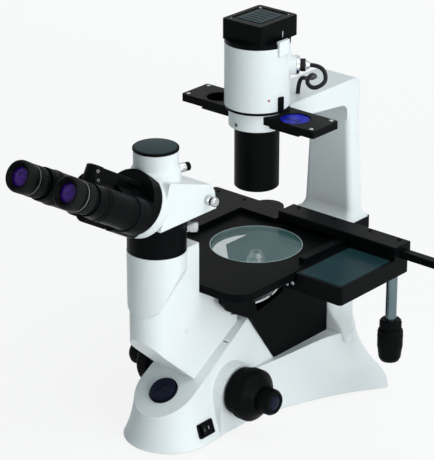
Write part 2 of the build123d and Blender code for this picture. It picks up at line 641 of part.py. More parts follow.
rail -= block(RAIL_LEFT - 1, CARRIAGE_X + 1, BAR_Y - BAR_HALF - FIT, BAR_Y + BAR_HALF + FIT,
              CARRIAGE_TOP - 1, bar_top + FIT)
rail -= block(RAIL_LEFT - 1, SEAM_X, RAIL_FRONT - 1, BAR_Y, CARRIAGE_TOP - 1, holder_top + 0.3)
save("cross_rail", rail)
bar_left = RAIL_LEFT - 2
bar = block(bar_left, BAR_END, BAR_Y - BAR_HALF, BAR_Y + BAR_HALF, bar_bottom, bar_top)
bar_teeth = 3.0
for index in range(int((BAR_END - CARRIAGE_X - 8) / bar_teeth)):
    x = CARRIAGE_X + 6 + index * bar_teeth
    bar -= block(x, x + bar_teeth / 2, BAR_Y - BAR_HALF - 1, BAR_Y - BAR_HALF + 1.5, bar_bottom + 2, bar_top - 2)
save("rack_bar", bar)
frame = slab(HOLDER_LEFT, HOLDER_INNER_X, HOLDER_FRONT, PLATE_REAR, holder_bottom, holder_top, 4)
frame += block(HOLDER_INNER_X - 8, bar_left, HOLDER_INNER_Y, PLATE_REAR, holder_bottom, holder_top)
lobe_x = HOLDER_INNER_X + LOBE_OUT
frame += post(LOBE_R, holder_bottom, holder_top, lobe_x, PLATE_REAR - 7)
jaw = slab(JAW_X - JAW_HALF, JAW_X + JAW_HALF, JAW_FRONT, BAR_Y - BAR_HALF, holder_bottom, holder_top, 2)
save("specimen_holder", frame, jaw)
knob_top = CARRIAGE_BOTTOM - DROP_LEN
knob_split = knob_top - Y_KNOB_H
knob_bottom = knob_split - X_KNOB_H
tube_end = knob_bottom + TUBE_RISE
drop_tube = post(DROP_R, tube_end, CARRIAGE_BOTTOM + TUBE_SOCKET, DROP_X, DROP_Y)
save("drop_tube", drop_tube)
bore = DROP_R + 0.05
y_knob = turned([(bore, knob_split + 0.2), (Y_KNOB_R, knob_split + 0.2), (Y_KNOB_R, knob_top - 1.5),
                 (Y_KNOB_R - 1.5, knob_top), (bore, knob_top)], Pos(DROP_X, DROP_Y, 0))
save("y_knob", y_knob)
x_knob = turned([(0, knob_bottom), (X_KNOB_R - 3.5, knob_bottom), (X_KNOB_R - 1.5, knob_bottom + 4),
                 (X_KNOB_R, knob_bottom + 16), (X_KNOB_R, knob_split - 2), (X_KNOB_R - 2, knob_split),
                 (bore, knob_split), (bore, tube_end - 0.3), (0, tube_end - 0.3)], Pos(DROP_X, DROP_Y, 0))
save("x_knob", x_knob)

# Rear pillar on its black foot, with the arm that carries lamp and condenser
pillar_z = STAGE_TOP - 4
foot_front = TOWER_FRONT + 18
foot = slab(-TOWER_HALF - 2, TOWER_HALF + 2, foot_front, PILLAR_REAR + 8, pillar_z - PILLAR_FOOT_T, pillar_z, 5)
save("pillar_foot", foot)


def pillar_section(z, half, front, rear):
    return Pos(0, (front + rear) / 2, z) * RectangleRounded(2 * half, rear - front, 7)


flare_z = pillar_z + PILLAR_FLARE + 2
arm_low = ARM_TOP - ARM_ROOT_T
pillar = loft([pillar_section(flare_z, PILLAR_BASE_HALF, PILLAR_FRONT, PILLAR_REAR + 3),
               pillar_section(ARM_TOP - 6, ARM_HALF, PILLAR_FRONT, PILLAR_REAR)], ruled=True)
pillar += loft([pillar_section(pillar_z, PILLAR_BASE_HALF + 7, PILLAR_FRONT - PILLAR_FLARE, PILLAR_REAR + 8),
                pillar_section(pillar_z + 5, PILLAR_BASE_HALF + 2, PILLAR_FRONT - 4, PILLAR_REAR + 5),
                pillar_section(flare_z, PILLAR_BASE_HALF, PILLAR_FRONT, PILLAR_REAR + 3)])
arm_outline = Polyline((0, ARM_TOP - ARM_T), (0, ARM_TOP), (PILLAR_REAR, ARM_TOP), (PILLAR_REAR, arm_low - 20),
                       (PILLAR_FRONT, arm_low - 20), (PILLAR_FRONT, arm_low), (60, ARM_TOP - ARM_T), close=True)
arm_face = make_face(arm_outline)
rear_top = arm_face.vertices().sort_by_distance((PILLAR_REAR, ARM_TOP))[0]
arm_face = fillet(rear_top, 10)
elbow = arm_face.vertices().sort_by_distance((PILLAR_FRONT, arm_low))[0]
arm_face = fillet(elbow, 12)
arm = extrude(Plane.YZ * arm_face, ARM_HALF, both=True)
pillar += arm
pillar += post(ARM_EYE_R, ARM_TOP - ARM_T, ARM_TOP)
slot_top = ARM_TOP - ARM_ROOF
slot_low = slot_top - SLIDER_T - 2 * SLIDER_RUN
guide_low = slot_low - GUIDE_T
pillar -= block(-SLIDER_HALF, SLIDER_HALF, SLIDER_FRONT - SLIDER_RUN, SLIDER_REAR + SLIDER_RUN, slot_low, slot_top)
guide_front_y = SLIDER_FRONT + 6
guide_rear_y = SLIDER_REAR - 6
pillar -= block(-SLIDER_HALF, SLIDER_HALF, guide_front_y, guide_rear_y, guide_low, slot_low)
pillar -= post(SLIDER_HOLE_R + 2, ARM_TOP - ARM_T - 1, ARM_TOP + 1)
spigot_r = CONDENSER_R - 3
spigot_h = guide_low - (ARM_TOP - ARM_T)
pillar -= post(spigot_r, ARM_TOP - ARM_T - 1, guide_low)
lead_hole = (10.0, 62.0)
pillar -= post(LEAD_R + 0.2, ARM_TOP - 8, ARM_TOP + 1, *lead_hole)
save("rear_pillar", pillar)

# Filter slider in the arm
slider_low = slot_low + SLIDER_RUN
slider = slab(-SLIDER_HALF, SLIDER_HALF, SLIDER_FRONT, SLIDER_REAR, slider_low, slider_low + SLIDER_T, 2)
filter_low = slider_low + SLIDER_T - FILTER_T - 1
for index in (-1, 0, 1):
    slider -= post(SLIDER_HOLE_R, slider_low - 1, slider_low + SLIDER_T + 1, index * SLIDER_PITCH)
slider -= post(SLIDER_HOLE_R + 2, filter_low, slider_low + SLIDER_T + 1, SLIDER_PITCH)
save("filter_slider", slider)
save("blue_filter", post(SLIDER_HOLE_R + 2, filter_low, filter_low + FILTER_T, SLIDER_PITCH))
runner = block(-GUIDE_HALF, GUIDE_HALF, guide_front_y, guide_rear_y, guide_low, slot_low)
runner -= post(SLIDER_HOLE_R + 1, guide_low - 1, slot_low + 1)
save("slider_guide", runner)

# Condenser hanging under the arm
eye_low = ARM_TOP - ARM_T
cond_low = eye_low - CONDENSER_LEN
condenser = turned([(CONDENSER_BORE_R, cond_low), (CONDENSER_R - 1, cond_low), (CONDENSER_R, cond_low + 1),
                    (CONDENSER_R, eye_low), (spigot_r, eye_low), (spigot_r, guide_low),
                    (SLIDER_HOLE_R, guide_low), (SLIDER_HOLE_R, eye_low), (CONDENSER_BORE_R, eye_low - 6)])
save("condenser_tube", condenser)
cond_lens = turned([(0, cond_low + 3), (CONDENSER_BORE_R, cond_low + 3), (CONDENSER_BORE_R, cond_low + 7),
                    (CONDENSER_BORE_R * 0.6, cond_low + 13), (0, cond_low + 15)])
seat_top = ARM_TOP + SEAT_T
house_in = LAMP_R - LAMP_WALL
collector_z = seat_top + 14
collector = turned([(0, collector_z), (house_in, collector_z), (house_in, collector_z + 4), (0, collector_z + 9)])
save("illuminator_lenses", cond_lens, collector)

# Lamp house with seat, iris lever, lug and connector boss
seat = post(LAMP_R, ARM_TOP, seat_top) - post(SLIDER_HOLE_R + 2, ARM_TOP - 1, seat_top + 1)
lever_low = ARM_TOP + 0.8
lever_angle = -7.6
lever_swing = 25.0
lever_half = 3.5
ring_r = house_in - 6
slot_half = lever_swing + 8
slot_far = 2 * LAMP_R
slot_edge = slot_far * math.tan(math.radians(slot_half))
sweep_slot = extrude(make_face(Polyline((0, 0), (slot_far, slot_edge), (slot_far, -slot_edge), close=True)), SEAT_T)
seat -= post(ring_r + FIT, lever_low, seat_top + 1)
seat -= Pos(0, 0, lever_low) * Rot(0, 0, lever_angle) * sweep_slot
save("lamp_seat", seat)
house = post(LAMP_R, seat_top, LAMP_TOP) - post(house_in, seat_top - 1, LAMP_TOP + 1)
lug_in = house_in + 0.5
house += block(lug_in, LAMP_R + 1.5, -LUG_HALF, LUG_HALF, LAMP_TOP - 10, LAMP_TOP + LUG_H)
plug_dir = Vector(math.cos(PLUG_ANGLE), math.sin(PLUG_ANGLE), 0)
boss_r = PLUG_R + 4.5
boss_end = LAMP_R + 7
house += rod(plug_dir * (house_in + 1) + Vector(0, 0, PLUG_Z), plug_dir * boss_end + Vector(0, 0, PLUG_Z), boss_r)
house -= rod(Vector(0, 0, PLUG_Z), plug_dir * (boss_end + 1) + Vector(0, 0, PLUG_Z), PLUG_R - 1)
save("lamp_house", house)
lever_out = LAMP_R + 0.5
iris = post(ring_r, lever_low + 0.2, seat_top - 0.2)
lever = block(ring_r - 3, lever_out + 2.5, -lever_half, lever_half, lever_low + 0.2, seat_top - 0.2)
lever += block(lever_out, lever_out + 2.5, -lever_half, lever_half, lever_low + 0.2, seat_top + LEVER_RISE)
iris += Rot(0, 0, lever_angle) * lever
iris -= post(SLIDER_HOLE_R + 3, lever_low - 1, seat_top + 1)
save("iris_ring", iris)

cap = post(LAMP_R, LAMP_TOP, LAMP_TOP + CAP_DISC_T)
cap += slab(-CAP_X / 2, CAP_X / 2, CAP_SHIFT_Y - CAP_Y / 2, CAP_SHIFT_Y + CAP_Y / 2, LAMP_TOP + CAP_DISC_T - 1,
            CAP_TOP, 5)
cap = fillet(cap.faces().sort_by(Axis.Z)[-1].edges(), 1.5)
cap -= slab(-CAP_X / 2 + 7, CAP_X / 2 - 7, CAP_SHIFT_Y - CAP_Y / 2 + 7, CAP_SHIFT_Y + CAP_Y / 2 - 7, CAP_TOP - 0.8,
            CAP_TOP + 1, 3)
cap -= block(lug_in - 0.2, LAMP_R + 2, -LUG_HALF - 0.2, LUG_HALF + 0.2, LAMP_TOP - 1, LAMP_TOP + LUG_H + 0.2)
save("lamp_cap", cap)
socket_r = 14.0
bulb_r = 6.0
socket = post(socket_r, LAMP_TOP - 16, LAMP_TOP)
bulb = turned([(0, LAMP_TOP - 44), (bulb_r * 0.6, LAMP_TOP - 42), (bulb_r, LAMP_TOP - 38),
               (bulb_r, LAMP_TOP - 16), (0, LAMP_TOP - 16)])
save("lamp_bulb", bulb, socket)

plug_at = Vector(0, 0, PLUG_Z)
plug_frame = Plane(origin=plug_at, z_dir=plug_dir)
plug_end = boss_end + 15
connector = turned([(0, boss_end), (PLUG_R + 1.5, boss_end), (PLUG_R + 1.5, boss_end + 3), (PLUG_R, boss_end + 3.5),
                    (PLUG_R, boss_end + 10), (PLUG_R - 1.5, boss_end + 11), (LEAD_R + 1, plug_end), (0, plug_end)],
                   plug_frame.location)
connector += rod(plug_dir * house_in + plug_at, plug_dir * (boss_end + 1) + plug_at, PLUG_R - 1)
save("lamp_connector", connector)

# Lamp lead: out of the plug, one small loop, down into the arm
lead_points = [plug_dir * plug_end + plug_at, plug_dir * (plug_end + 14) + plug_at, (72, 38, PLUG_Z - 15),
               (62, 26, PLUG_Z - 24), (50, 26, PLUG_Z - 18), (47, 40, PLUG_Z - 12), (44, 54, PLUG_Z - 20),
               (28, 61, PLUG_Z - 28), (*lead_hole, PLUG_Z - 30), (*lead_hole, ARM_TOP - 8)]
lead_points = [Vector(point) for point in lead_points]
lead_radii = []
for before, here, after in zip(lead_points, lead_points[1:], lead_points[2:]):
    first, second = here - before, after - here
    half_turn = math.radians(first.get_angle(second)) / 2
    lead_radii.append(0.45 * min(first.length, second.length) / math.tan(half_turn))
print("lead radii", [round(radius, 1) for radius in lead_radii])
lead_path = FilletPolyline(*lead_points, radius=lead_radii)
lead = sweep(Plane(origin=lead_points[0], z_dir=lead_points[1] - lead_points[0]) * Circle(LEAD_R), path=lead_path)
print("lead length", round(lead_path.length, 1), "volume ratio", lead.volume / (math.pi * LEAD_R**2 * lead_path.length))
save("lamp_lead", lead)

# Trinocular head
head_ring = turned([(COL_BORE_R, COL_TOP), (RING_R, COL_TOP), (RING_R, HEAD_Z - 6), (RING_R - 2, HEAD_Z),
                    (COL_BORE_R, HEAD_Z)], Pos(0, COL_Y, 0))
screw_dir = Vector(0.8, 0.6, 0)
screw_z = COL_TOP + 27
screw_r = 2.0


def clamp_screw(centre, direction, z, start, neck, end, radius):
    """Thumb screw: thread from start, head from neck to end."""
    at = Vector(centre[0], centre[1], z)
    head = Plane(origin=at, z_dir=direction).location
    solid = turned([(0, start), (screw_r, start), (screw_r, neck), (radius, neck + 0.8), (radius, end - 1),
                    (radius - 1, end), (0, end)], head)
    hole = rod(at + direction * (start - 1), at + direction * (neck + 4), screw_r + 0.05)
    return solid, hole


head_screw, head_hole = clamp_screw((0, COL_Y), screw_dir, screw_z, RING_R - 8, RING_R + 0.3, RING_R + 13, 5.5)
save("head_ring", head_ring - head_hole)
save("head_clamp_screw", head_screw)

hub_frame = Plane(origin=(0, HUB_Y, HUB_Z), x_dir=(1, 0, 0), z_dir=(0, -math.cos(TUBE_TILT), math.sin(TUBE_TILT)))
top_z = HEAD_Z + HEAD_H
head_outline = [(HEAD_FRONT, HEAD_Z), (HEAD_FRONT + HEAD_LEAN, top_z), (HEAD_REAR - 8, HEAD_Z + HEAD_REAR_H),
                (HEAD_REAR - 2, HEAD_Z + HEAD_REAR_H - 10), (HEAD_REAR, HEAD_Z)]
head = side_profile(head_outline, HEAD_HALF)
head = fillet(head.edges().filter_by(Axis.X).group_by(Axis.Z)[-1], 3)
head += hub_frame.location * post(HEAD_BOSS_R, -HEAD_BOSS_BACK, HUB_START)
head -= post(RING_R, COL_TOP, HEAD_Z, 0, COL_Y)
head -= post(PORT_FLANGE_R, PORT_BASE_Z, top_z + 20, 0, COL_Y)
head -= post(COL_BORE_R, HEAD_Z - 1, PORT_BASE_Z + 1, 0, COL_Y)
head -= hub_frame.location * post(HUB_R + 10, HUB_START, HUB_START + 40)
ROD_Y = -127.0
ROD_Z = HEAD_Z + 15
ROD_R = 2.5
head -= rod((HEAD_HALF - 22, ROD_Y, ROD_Z), (HEAD_HALF + 1, ROD_Y, ROD_Z), ROD_R + 0.05)
save("head_housing", head)
rod_frame = Plane(origin=(0, ROD_Y, ROD_Z), z_dir=(1, 0, 0)).location
rod_face = HEAD_HALF + 0.4
pull_rod = turned([(0, HEAD_HALF - 18), (ROD_R, HEAD_HALF - 18), (ROD_R, rod_face), (5.5, rod_face), (5.5, rod_face + 4),
                   (4, rod_face + 5), (4, rod_face + 8), (5.5, rod_face + 9), (5.5, rod_face + 12), (4.5, rod_face + 13),
                   (0, rod_face + 13)], rod_frame)
save("light_path_rod", pull_rod)
port = turned([(PORT_BORE_R, PORT_BASE_Z), (PORT_FLANGE_R, PORT_BASE_Z), (PORT_FLANGE_R, PORT_FLANGE_TOP - 4),
               (PORT_R, PORT_FLANGE_TOP), (PORT_R, PORT_TOP), (PORT_BORE_R, PORT_TOP)], Pos(0, COL_Y, 0))
port_dir = Vector(0.3, 0.954, 0).normalized()
port_screw, port_hole = clamp_screw((0, COL_Y), port_dir, PORT_FLANGE_TOP - 10, PORT_BORE_R + 1, PORT_FLANGE_R + 0.3,
                                    PORT_FLANGE_R + 15, 5.0)
save("camera_port", port - port_hole)
save("port_clamp_screw", port_screw)
save("port_cap", turned([(0, PORT_TOP - 8), (PORT_BORE_R, PORT_TOP - 8), (PORT_BORE_R, PORT_TOP),
                         (PORT_R + 0.5, PORT_TOP), (PORT_R + 0.5, PORT_TOP + CAP_T - 1), (PORT_R - 0.5, PORT_TOP + CAP_T),
                         (0, PORT_TOP + CAP_T)], Pos(0, COL_Y, 0)))

# Binocular: hub with pivot barrel, two swinging ocular bodies, eyepieces
BARREL_END = 92.0
COVER_START = DRUM_END + 1.5
hub = post(HUB_R, HUB_START, HUB_FRONT) + post(BARREL_R, HUB_FRONT - 1, BARREL_END)
hub = hub_frame.location * hub
hub -= post(PORT_FLANGE_R, PORT_BASE_Z, PORT_TOP, 0, COL_Y)
save("binocular_hub", hub)
BRIDGE_UNDER = BARREL_R + 8 + 3 * RUN
cover = post(BARREL_R + 4, COVER_START, BARREL_END + 2)
cover += block(-BRIDGE_HALF, BRIDGE_HALF, 0, BRIDGE_TOP, COVER_START, BARREL_END - 6)
cover += extrude(Plane.XZ * (Pos(0, BARREL_END - 6) * Circle(BRIDGE_HALF)), -BRIDGE_TOP)
cover += block(-BRIDGE_HALF, BRIDGE_HALF, BRIDGE_UNDER, BRIDGE_TOP, HUB_FRONT + RUN, COVER_START + 1)
top_edges = cover.edges().filter_by(GeomType.LINE).filter_by(Axis.Z).group_by(Axis.Y)[-1]
cover = chamfer(top_edges, BRIDGE_HALF / 8)
cover -= post(BARREL_R, HUB_FRONT, BARREL_END)
save("pivot_cover", hub_frame.location * cover)
drop = math.sqrt(PUPIL_ARM**2 - PUPIL_HALF**2)


def housing_section(side, level, roof_side, roof_low):
    """Section across a prism housing: roof falling outwards from the hinge, leaning side, round lower corner."""
    inner = BARREL_R - 1
    ridge = BARREL_R + 4
    outline = make_face(Polyline((0, -HOUSING_LOW), (0, ridge), (side * inner, ridge), (side * roof_side, roof_low),
                                 (side * HOUSING_FOOT, -HOUSING_LOW), close=True))
    foot = outline.vertices().sort_by_distance((side * HOUSING_FOOT, -HOUSING_LOW))[0]
    outline = fillet(foot, HOUSING_ROUND)
    eave = outline.vertices().sort_by_distance((side * roof_side, roof_low))[0]
    return Pos(0, 0, level) * fillet(eave, ROOF_ROUND)


def ocular(side, disc_start, other_start):
    """Ocular body on one side: roofed prism housing beside the pivot, boss and tube for its eyepiece."""
    start = HUB_FRONT + RUN
    gap = math.tan(SWING_GAP)
    far = 2 * HUB_R
    sector = make_face(Polyline((0, 0), (side * far * gap, far), (side * far, far), (side * far, -far),
                                (side * far * gap, -far), close=True))
    drum = loft([housing_section(side, start, ROOF_SIDE, ROOF_BACK),
                 housing_section(side, DRUM_END, ROOF_FRONT_SIDE, ROOF_FRONT)], ruled=True)
    drum &= extrude(sector, DRUM_END + 10)
    tube_place = Pos(side * PUPIL_HALF, -drop, 0)
    drum += tube_place * post(TUBE_R + 2, BOSS_START, DRUM_END)
    drum += post(BARREL_R + 8, disc_start, disc_start + DISC_T)
    drum += tube_place * turned([(0, DRUM_END - 2), (TUBE_R + 1, DRUM_END - 2), (TUBE_R, DRUM_END + 10),
                                 (TUBE_R, TUBE_END - 4), (TUBE_R - 1, TUBE_END), (0, TUBE_END)])
    drum -= post(BARREL_R + 8 + RUN, other_start - RUN, other_start + DISC_T + RUN)
    drum -= post(BARREL_R + 0.05, 0, disc_start + DISC_T)
    drum -= post(BARREL_R + 4 + RUN, disc_start + DISC_T, TUBE_END)
    drum -= tube_place * post(EYE_BORE_R + 0.05, TUBE_END - 40, TUBE_END + 1)
    return drum


def eyepiece(side, ring_gap):
    """Eyepiece with its barrel in the tube; ring_gap leaves a neck for the dioptre ring."""
    neck = TUBE_END + RUN
    ring_end = neck + 12
    grip = EYE_BORE_R + 2.4 if ring_gap else EYE_R + 1
    profile = [(0, TUBE_END - 30), (EYE_BORE_R, TUBE_END - 30), (EYE_BORE_R, neck), (grip, neck), (grip, ring_end),
               (EYE_R - 1, ring_end + RUN), (EYE_R - 1, ring_end + 3), (EYE_R, ring_end + 4), (EYE_R, EYE_END - 4),
               (EYE_R - 1.8, EYE_END), (EYE_R - 3.2, EYE_END), (LENS_R, EYE_END - 4), (LENS_R, EYE_END - LENS_SEAT),
               (0, EYE_END - LENS_SEAT)]
    return turned(profile, Pos(side * PUPIL_HALF, -drop, 0))


def eye_lens(side):
    """Domed eye lens in the cup."""
    low = EYE_END - LENS_SEAT
    rise = 2.5
    ball_r = (LENS_R**2 + rise**2) / (2 * rise)
    lens = post(LENS_R, low, low + 2 * rise) & Pos(0, 0, low + 2 * rise - ball_r) * Sphere(ball_r)
    return Pos(side * PUPIL_HALF, -drop, 0) * lens


right_disc = HUB_FRONT + RUN
left_disc = right_disc + DISC_T + RUN
for side, name, own, other, ring_gap in ((1, "right", right_disc, left_disc, False),
                                         (-1, "left", left_disc, right_disc, True)):
    save(f"{name}_ocular", hub_frame.location * ocular(side, own, other))
    save(f"{name}_eyepiece", hub_frame.location * eyepiece(side, ring_gap))
    save(f"{name}_lens", hub_frame.location * eye_lens(side))
ring_start = TUBE_END + 2 * RUN
diopter = turned([(EYE_BORE_R + 2.45, ring_start), (EYE_R + 1.2, ring_start), (EYE_R + 1.2, ring_start + 11),
                  (EYE_BORE_R + 2.45, ring_start + 11)], Pos(-PUPIL_HALF, -drop, 0))
save("diopter_ring", hub_frame.location * diopter)
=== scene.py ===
import json
import math

import bpy
from mathutils import Matrix, Vector

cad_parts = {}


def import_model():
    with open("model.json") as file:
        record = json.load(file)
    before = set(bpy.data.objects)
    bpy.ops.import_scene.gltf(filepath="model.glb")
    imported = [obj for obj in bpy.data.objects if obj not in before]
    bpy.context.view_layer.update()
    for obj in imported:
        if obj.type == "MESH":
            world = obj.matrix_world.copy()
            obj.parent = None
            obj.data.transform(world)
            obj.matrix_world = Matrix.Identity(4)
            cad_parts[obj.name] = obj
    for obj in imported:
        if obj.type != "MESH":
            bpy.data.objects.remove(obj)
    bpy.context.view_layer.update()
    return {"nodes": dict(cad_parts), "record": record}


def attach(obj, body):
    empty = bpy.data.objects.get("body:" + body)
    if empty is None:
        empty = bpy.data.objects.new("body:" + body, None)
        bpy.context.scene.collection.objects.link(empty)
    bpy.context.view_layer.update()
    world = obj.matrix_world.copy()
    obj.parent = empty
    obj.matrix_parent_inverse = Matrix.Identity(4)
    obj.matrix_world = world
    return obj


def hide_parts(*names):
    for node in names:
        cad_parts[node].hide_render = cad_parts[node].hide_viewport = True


MM = 0.001
X_AXIS = Vector((1, 0, 0))
Y_AXIS = Vector((0, 1, 0))
Z_AXIS = Vector((0, 0, 1))
SIDES = ((1, "right"), (-1, "left"))


def level_dir(degrees):
    """Level unit vector at an angle from the X axis."""
    angle = math.radians(degrees)
    return Vector((math.cos(angle), math.sin(angle), 0))


# Binocular places from the CAD source, here and below in millimetres
TUBE_TILT = math.radians(30)
HUB = Vector((0, -205, 305))
TUBE_AXIS = Vector((0, -math.cos(TUBE_TILT), math.sin(TUBE_TILT)))
TUBE_UP = Vector((0, math.sin(TUBE_TILT), math.cos(TUBE_TILT)))
PUPIL_HALF = 35.0
PUPIL_REACH = 37.5
PUPIL_DROP = math.sqrt(PUPIL_REACH**2 - PUPIL_HALF**2)
EYE_END = 162.0
EYE_R = 17.25
BRIDGE_HALF = 11.0
BRIDGE_TOP = 24.0
BRIDGE_ROUND_AT = 86.0
PIVOT_TOP = HUB + TUBE_UP * BRIDGE_TOP + TUBE_AXIS * BRIDGE_ROUND_AT

# Head, port and column places
COLUMN_Y = -174.0
COLUMN_SCREW = Vector((25, -152.3, 139.5))
HEAD_SCREW = Vector((0, COLUMN_Y, 269))
HEAD_SCREW_DIR = Vector((0.8, 0.6, 0))
LIGHT_ROD = Vector((0, -127, 295))
PORT_R = 25.3
PORT_CAP = Vector((0, COLUMN_Y, 361))
PORT_SCREW = Vector((0, COLUMN_Y, 332))
PORT_SCREW_DIR = Vector((0.3, 0.954, 0)).normalized()

# Front panel, ledge, dial and switch places
PANEL_SLOPE = math.radians(31)
LEDGE_X = 30.0
LEDGE_NOTCH_Y = -90.5
LEDGE_RIB_Y = -86.0
LEDGE_RIB_PITCH = 2.6
LEDGE_RIBS = 5
DIAL = Vector((0, -165, 60))
DIAL_AXIS = Vector((0, -math.sin(PANEL_SLOPE), math.cos(PANEL_SLOPE)))
DIAL_R = 17.5
DENT_REACH = 7.5
DENT_LEVEL = 5.2
DENTS = 3
SWITCH = Vector((47.5, -147, 20))
SWITCH_TILT = math.radians(20)
SWITCH_OUT = Vector((math.cos(SWITCH_TILT), 0, math.sin(SWITCH_TILT)))
SWITCH_UP = Vector((-math.sin(SWITCH_TILT), 0, math.cos(SWITCH_TILT)))
ROCKER_TILT = math.radians(8)
PIVOT_DEPTH = 3.0
MARK_REACH = 4.8
MARK_LEVEL = 5.15

# Lamp house, cap, slider and arm places
LAMP_R = 38.0
INDEX_DOT_Z = 381.8
INDEX_DOT_DIR = level_dir(-30)
CAP_TOP = 470.0
CAP_CENTRE_Y = 4.0
CAP_SCREW_X = 21.5
CAP_SCREW_REACH = 26.5
CAP_SCREW_SEAT = CAP_TOP - 1.5
CAP_SLIT = Vector((29, 9.3, 452.8))
VENT_PLATE_SEAT = CAP_TOP - 0.8
VENT_SEAT = CAP_TOP - 0.25
VENT_PITCH = 7.0
VENTS = 5
ARM_EYE_R = 33.0
ARM_SCREW_Z = 347.5
ARM_SCREW_DIR = level_dir(-97)
SLIDER_TOP = 360.8
SLIDER_STOP = 56.5
SLIDER_SCREW_X = 91.5
SLIDER_SCREW_YS = (-15.0, 21.0)

# Lamp plug and lead, with the control points of the lead's route
PLUG_DIR = level_dir(36)
PLUG_AXIS_AT = Vector((0, 0, 414))
PLUG_LENGTH = 60.0
PLUG_END = PLUG_DIR * PLUG_LENGTH + PLUG_AXIS_AT
BOSS_END = 45.0
LEAD_DIAMETER = 5.0
LEAD_STRAIGHT = 14.0
LEAD_ROUTE = [
    PLUG_END, PLUG_END + PLUG_DIR * LEAD_STRAIGHT, (72, 38, 399), (62, 26, 390), (50, 26, 396),
    (47, 40, 402), (44, 54, 394), (28, 61, 386), (10, 62, 384), (10, 62, 356),
]

# Stage and nosepiece places
STAGE_CENTRE = Vector((0, 0, 190))
GLASS_R = 55.0
# Place of the thin sheet that carries the painted reflection on the carriage top
CARRIAGE_REFLECTION_SHEET = Vector((121, 15, 190.4))
CARRIAGE_FRONT = -36.0
CARRIAGE_SCREWS = ((84.6, 176.6), (76.4, 173.2))
RAIL_Y = 90.0
RAIL_TOP = 206.0
RAIL_SCREWS = (-8.0, 46.0, 100.0, 142.0)
HOLDER_Y = 86.0
HOLDER_TOP = 196.2
HOLDER_SCREWS = (-132.0, -90.0)
TURRET_TILT = math.radians(12)
TURRET_OUT = Vector((0, math.cos(TURRET_TILT), math.sin(TURRET_TILT)))
TURRET_UP = Vector((0, -math.sin(TURRET_TILT), math.cos(TURRET_TILT)))
TURRET_R = 27.0
SEAT_IN_USE = Vector((0, 0, 158))
TURRET_AT = SEAT_IN_USE - TURRET_OUT * TURRET_R

# Radius and length of each objective; the second has the red band
OBJECTIVES = ((11.5, 22.0), (10.0, 15.0), (11.0, 18.0), (11.5, 20.0))
RED_BAND = 1

# Focus and stage knobs
FOCUS = Vector((0, -94, 52))
COARSE_R = 30.5
COARSE_INNER = 53.0
COARSE_OUTER = 90.0
FINE_R = 15.0
FINE_END = 108.0
DROP = Vector((143, 77, 0))
Y_KNOB_R = 12.4
Y_KNOB_LOW = 97.2
Y_KNOB_HIGH = 109.0
X_KNOB_R = 14.7
X_KNOB_LOW = 56.2
X_KNOB_HIGH = 97.2

# Profiles of the turned details: steps in radius and in height from the places that their calls name
EYECUP = (
    (-1.2, -13), (0.5, -12), (0.6, -4), (-0.2, -1.5), (-1.6, -0.4), (-3.0, -0.6), (-3.6, -1.6), (-3.4, -3.0),
)
LIGHT_RING = ((-0.6, -19.2), (0.35, -19), (0.35, -17.9), (-0.6, -17.7))
TUBE_BAND = ((18.6, 100.2), (19.5, 100.6), (19.5, 105.4), (18.6, 105.8))
PIVOT_WASHER = ((4.6, -0.2), (7.6, -0.2), (7.6, 0.4), (7.0, 0.7), (5.0, 0.7), (4.6, 0.4))
PORT_CAP_RIM = ((-1.6, 2.0), (0.7, 0.1), (0.7, 2.2), (-0.2, 2.95), (-1.6, 2.95))
PORT_CAP_FACE = ((-1.8, 2.5), (-1.8, 3.06), (-2.4, 3.12))
ROD_GROOVE = ((3.5, 39.6), (4.15, 39.6), (4.15, 42.2), (3.5, 42.2))
INDEX_DOT = ((1.5, -0.4), (1.5, 0.1), (1.2, 0.22))
SLIDER_HOLE_RIM = ((17.6, -0.3), (19.4, -0.3), (19.4, 0.02), (18.9, 0.1), (17.9, 0.1), (17.6, 0.02))
CONNECTOR_NUT = ((6.0, -0.4), (11.2, -0.4), (11.2, 1.6), (10.2, 3.4), (7.6, 3.8), (6.0, 3.8))
GLASS_EDGE_RING = ((-1.0, -0.3), (-0.05, -0.3), (-0.05, 0.12), (-0.4, 0.25), (-1.0, 0.12))
OBJECTIVE_BAND = ((-0.6, 7.4), (0.12, 7.5), (0.12, 8.7), (-0.6, 8.8))
OBJECTIVE_LENS = ((4.6, -1.0), (4.6, 0.12), (3.8, 0.3))
COARSE_SHOULDER = ((4.5, -2.0), (8.2, -4.6), (8.8, -4.2), (5.2, -1.5))
FINE_CAP = ((8.6, -1.8), (8.6, -0.9), (7.2, -0.3), (3.0, -0.1))
X_KNOB_BAND = ((14.2, 86.0), (15.4, 86.3), (15.4, 87.7), (14.2, 88.0))
DIAL_RIM = ((-2.2, 1.9), (0.1, 0.4), (0.1, 1.5), (-1.2, 2.7), (-2.2, 2.7))
DIAL_DENT = ((2.8, -0.6), (2.8, 0.25), (2.3, 0.45), (1.6, 0.1))
OFF_MARK = ((1.3, -0.2), (1.9, -0.2), (1.9, 0.1), (1.3, 0.1))

# Shapes shared by all details: edges sharper than the angle stay sharp, feet sink into the seat
SHARP_ANGLE = math.radians(35)
SEAT_SINK = 0.2

# Grips: height of a rib over its width, share of that height at the ends, longest end bevel
RIB_SHAPE = (0.0, 0.55, 1.0, 1.0, 0.55, 0.0)
RIB_AT_END = 0.1
GRIP_BEVEL = 0.8

# Screws: the head's profile in shares of its radius and height, the socket's share of the radius
SCREW_STEPS = 36
SCREW_HEAD = ((1.0, 0.4), (0.88, 0.85), (0.68, 1.0))
SOCKET_SHARE = 0.48
SOCKET_FLOOR = -0.1

# Plates: the bevel's shares of thickness and corner radius, smallest corner radius at the top
PLATE_CORNER_STEPS = 6
PLATE_BEVEL_OF_THICK = 0.6
PLATE_BEVEL_OF_CORNER = 0.5
PLATE_ROUND_MIN = 0.05

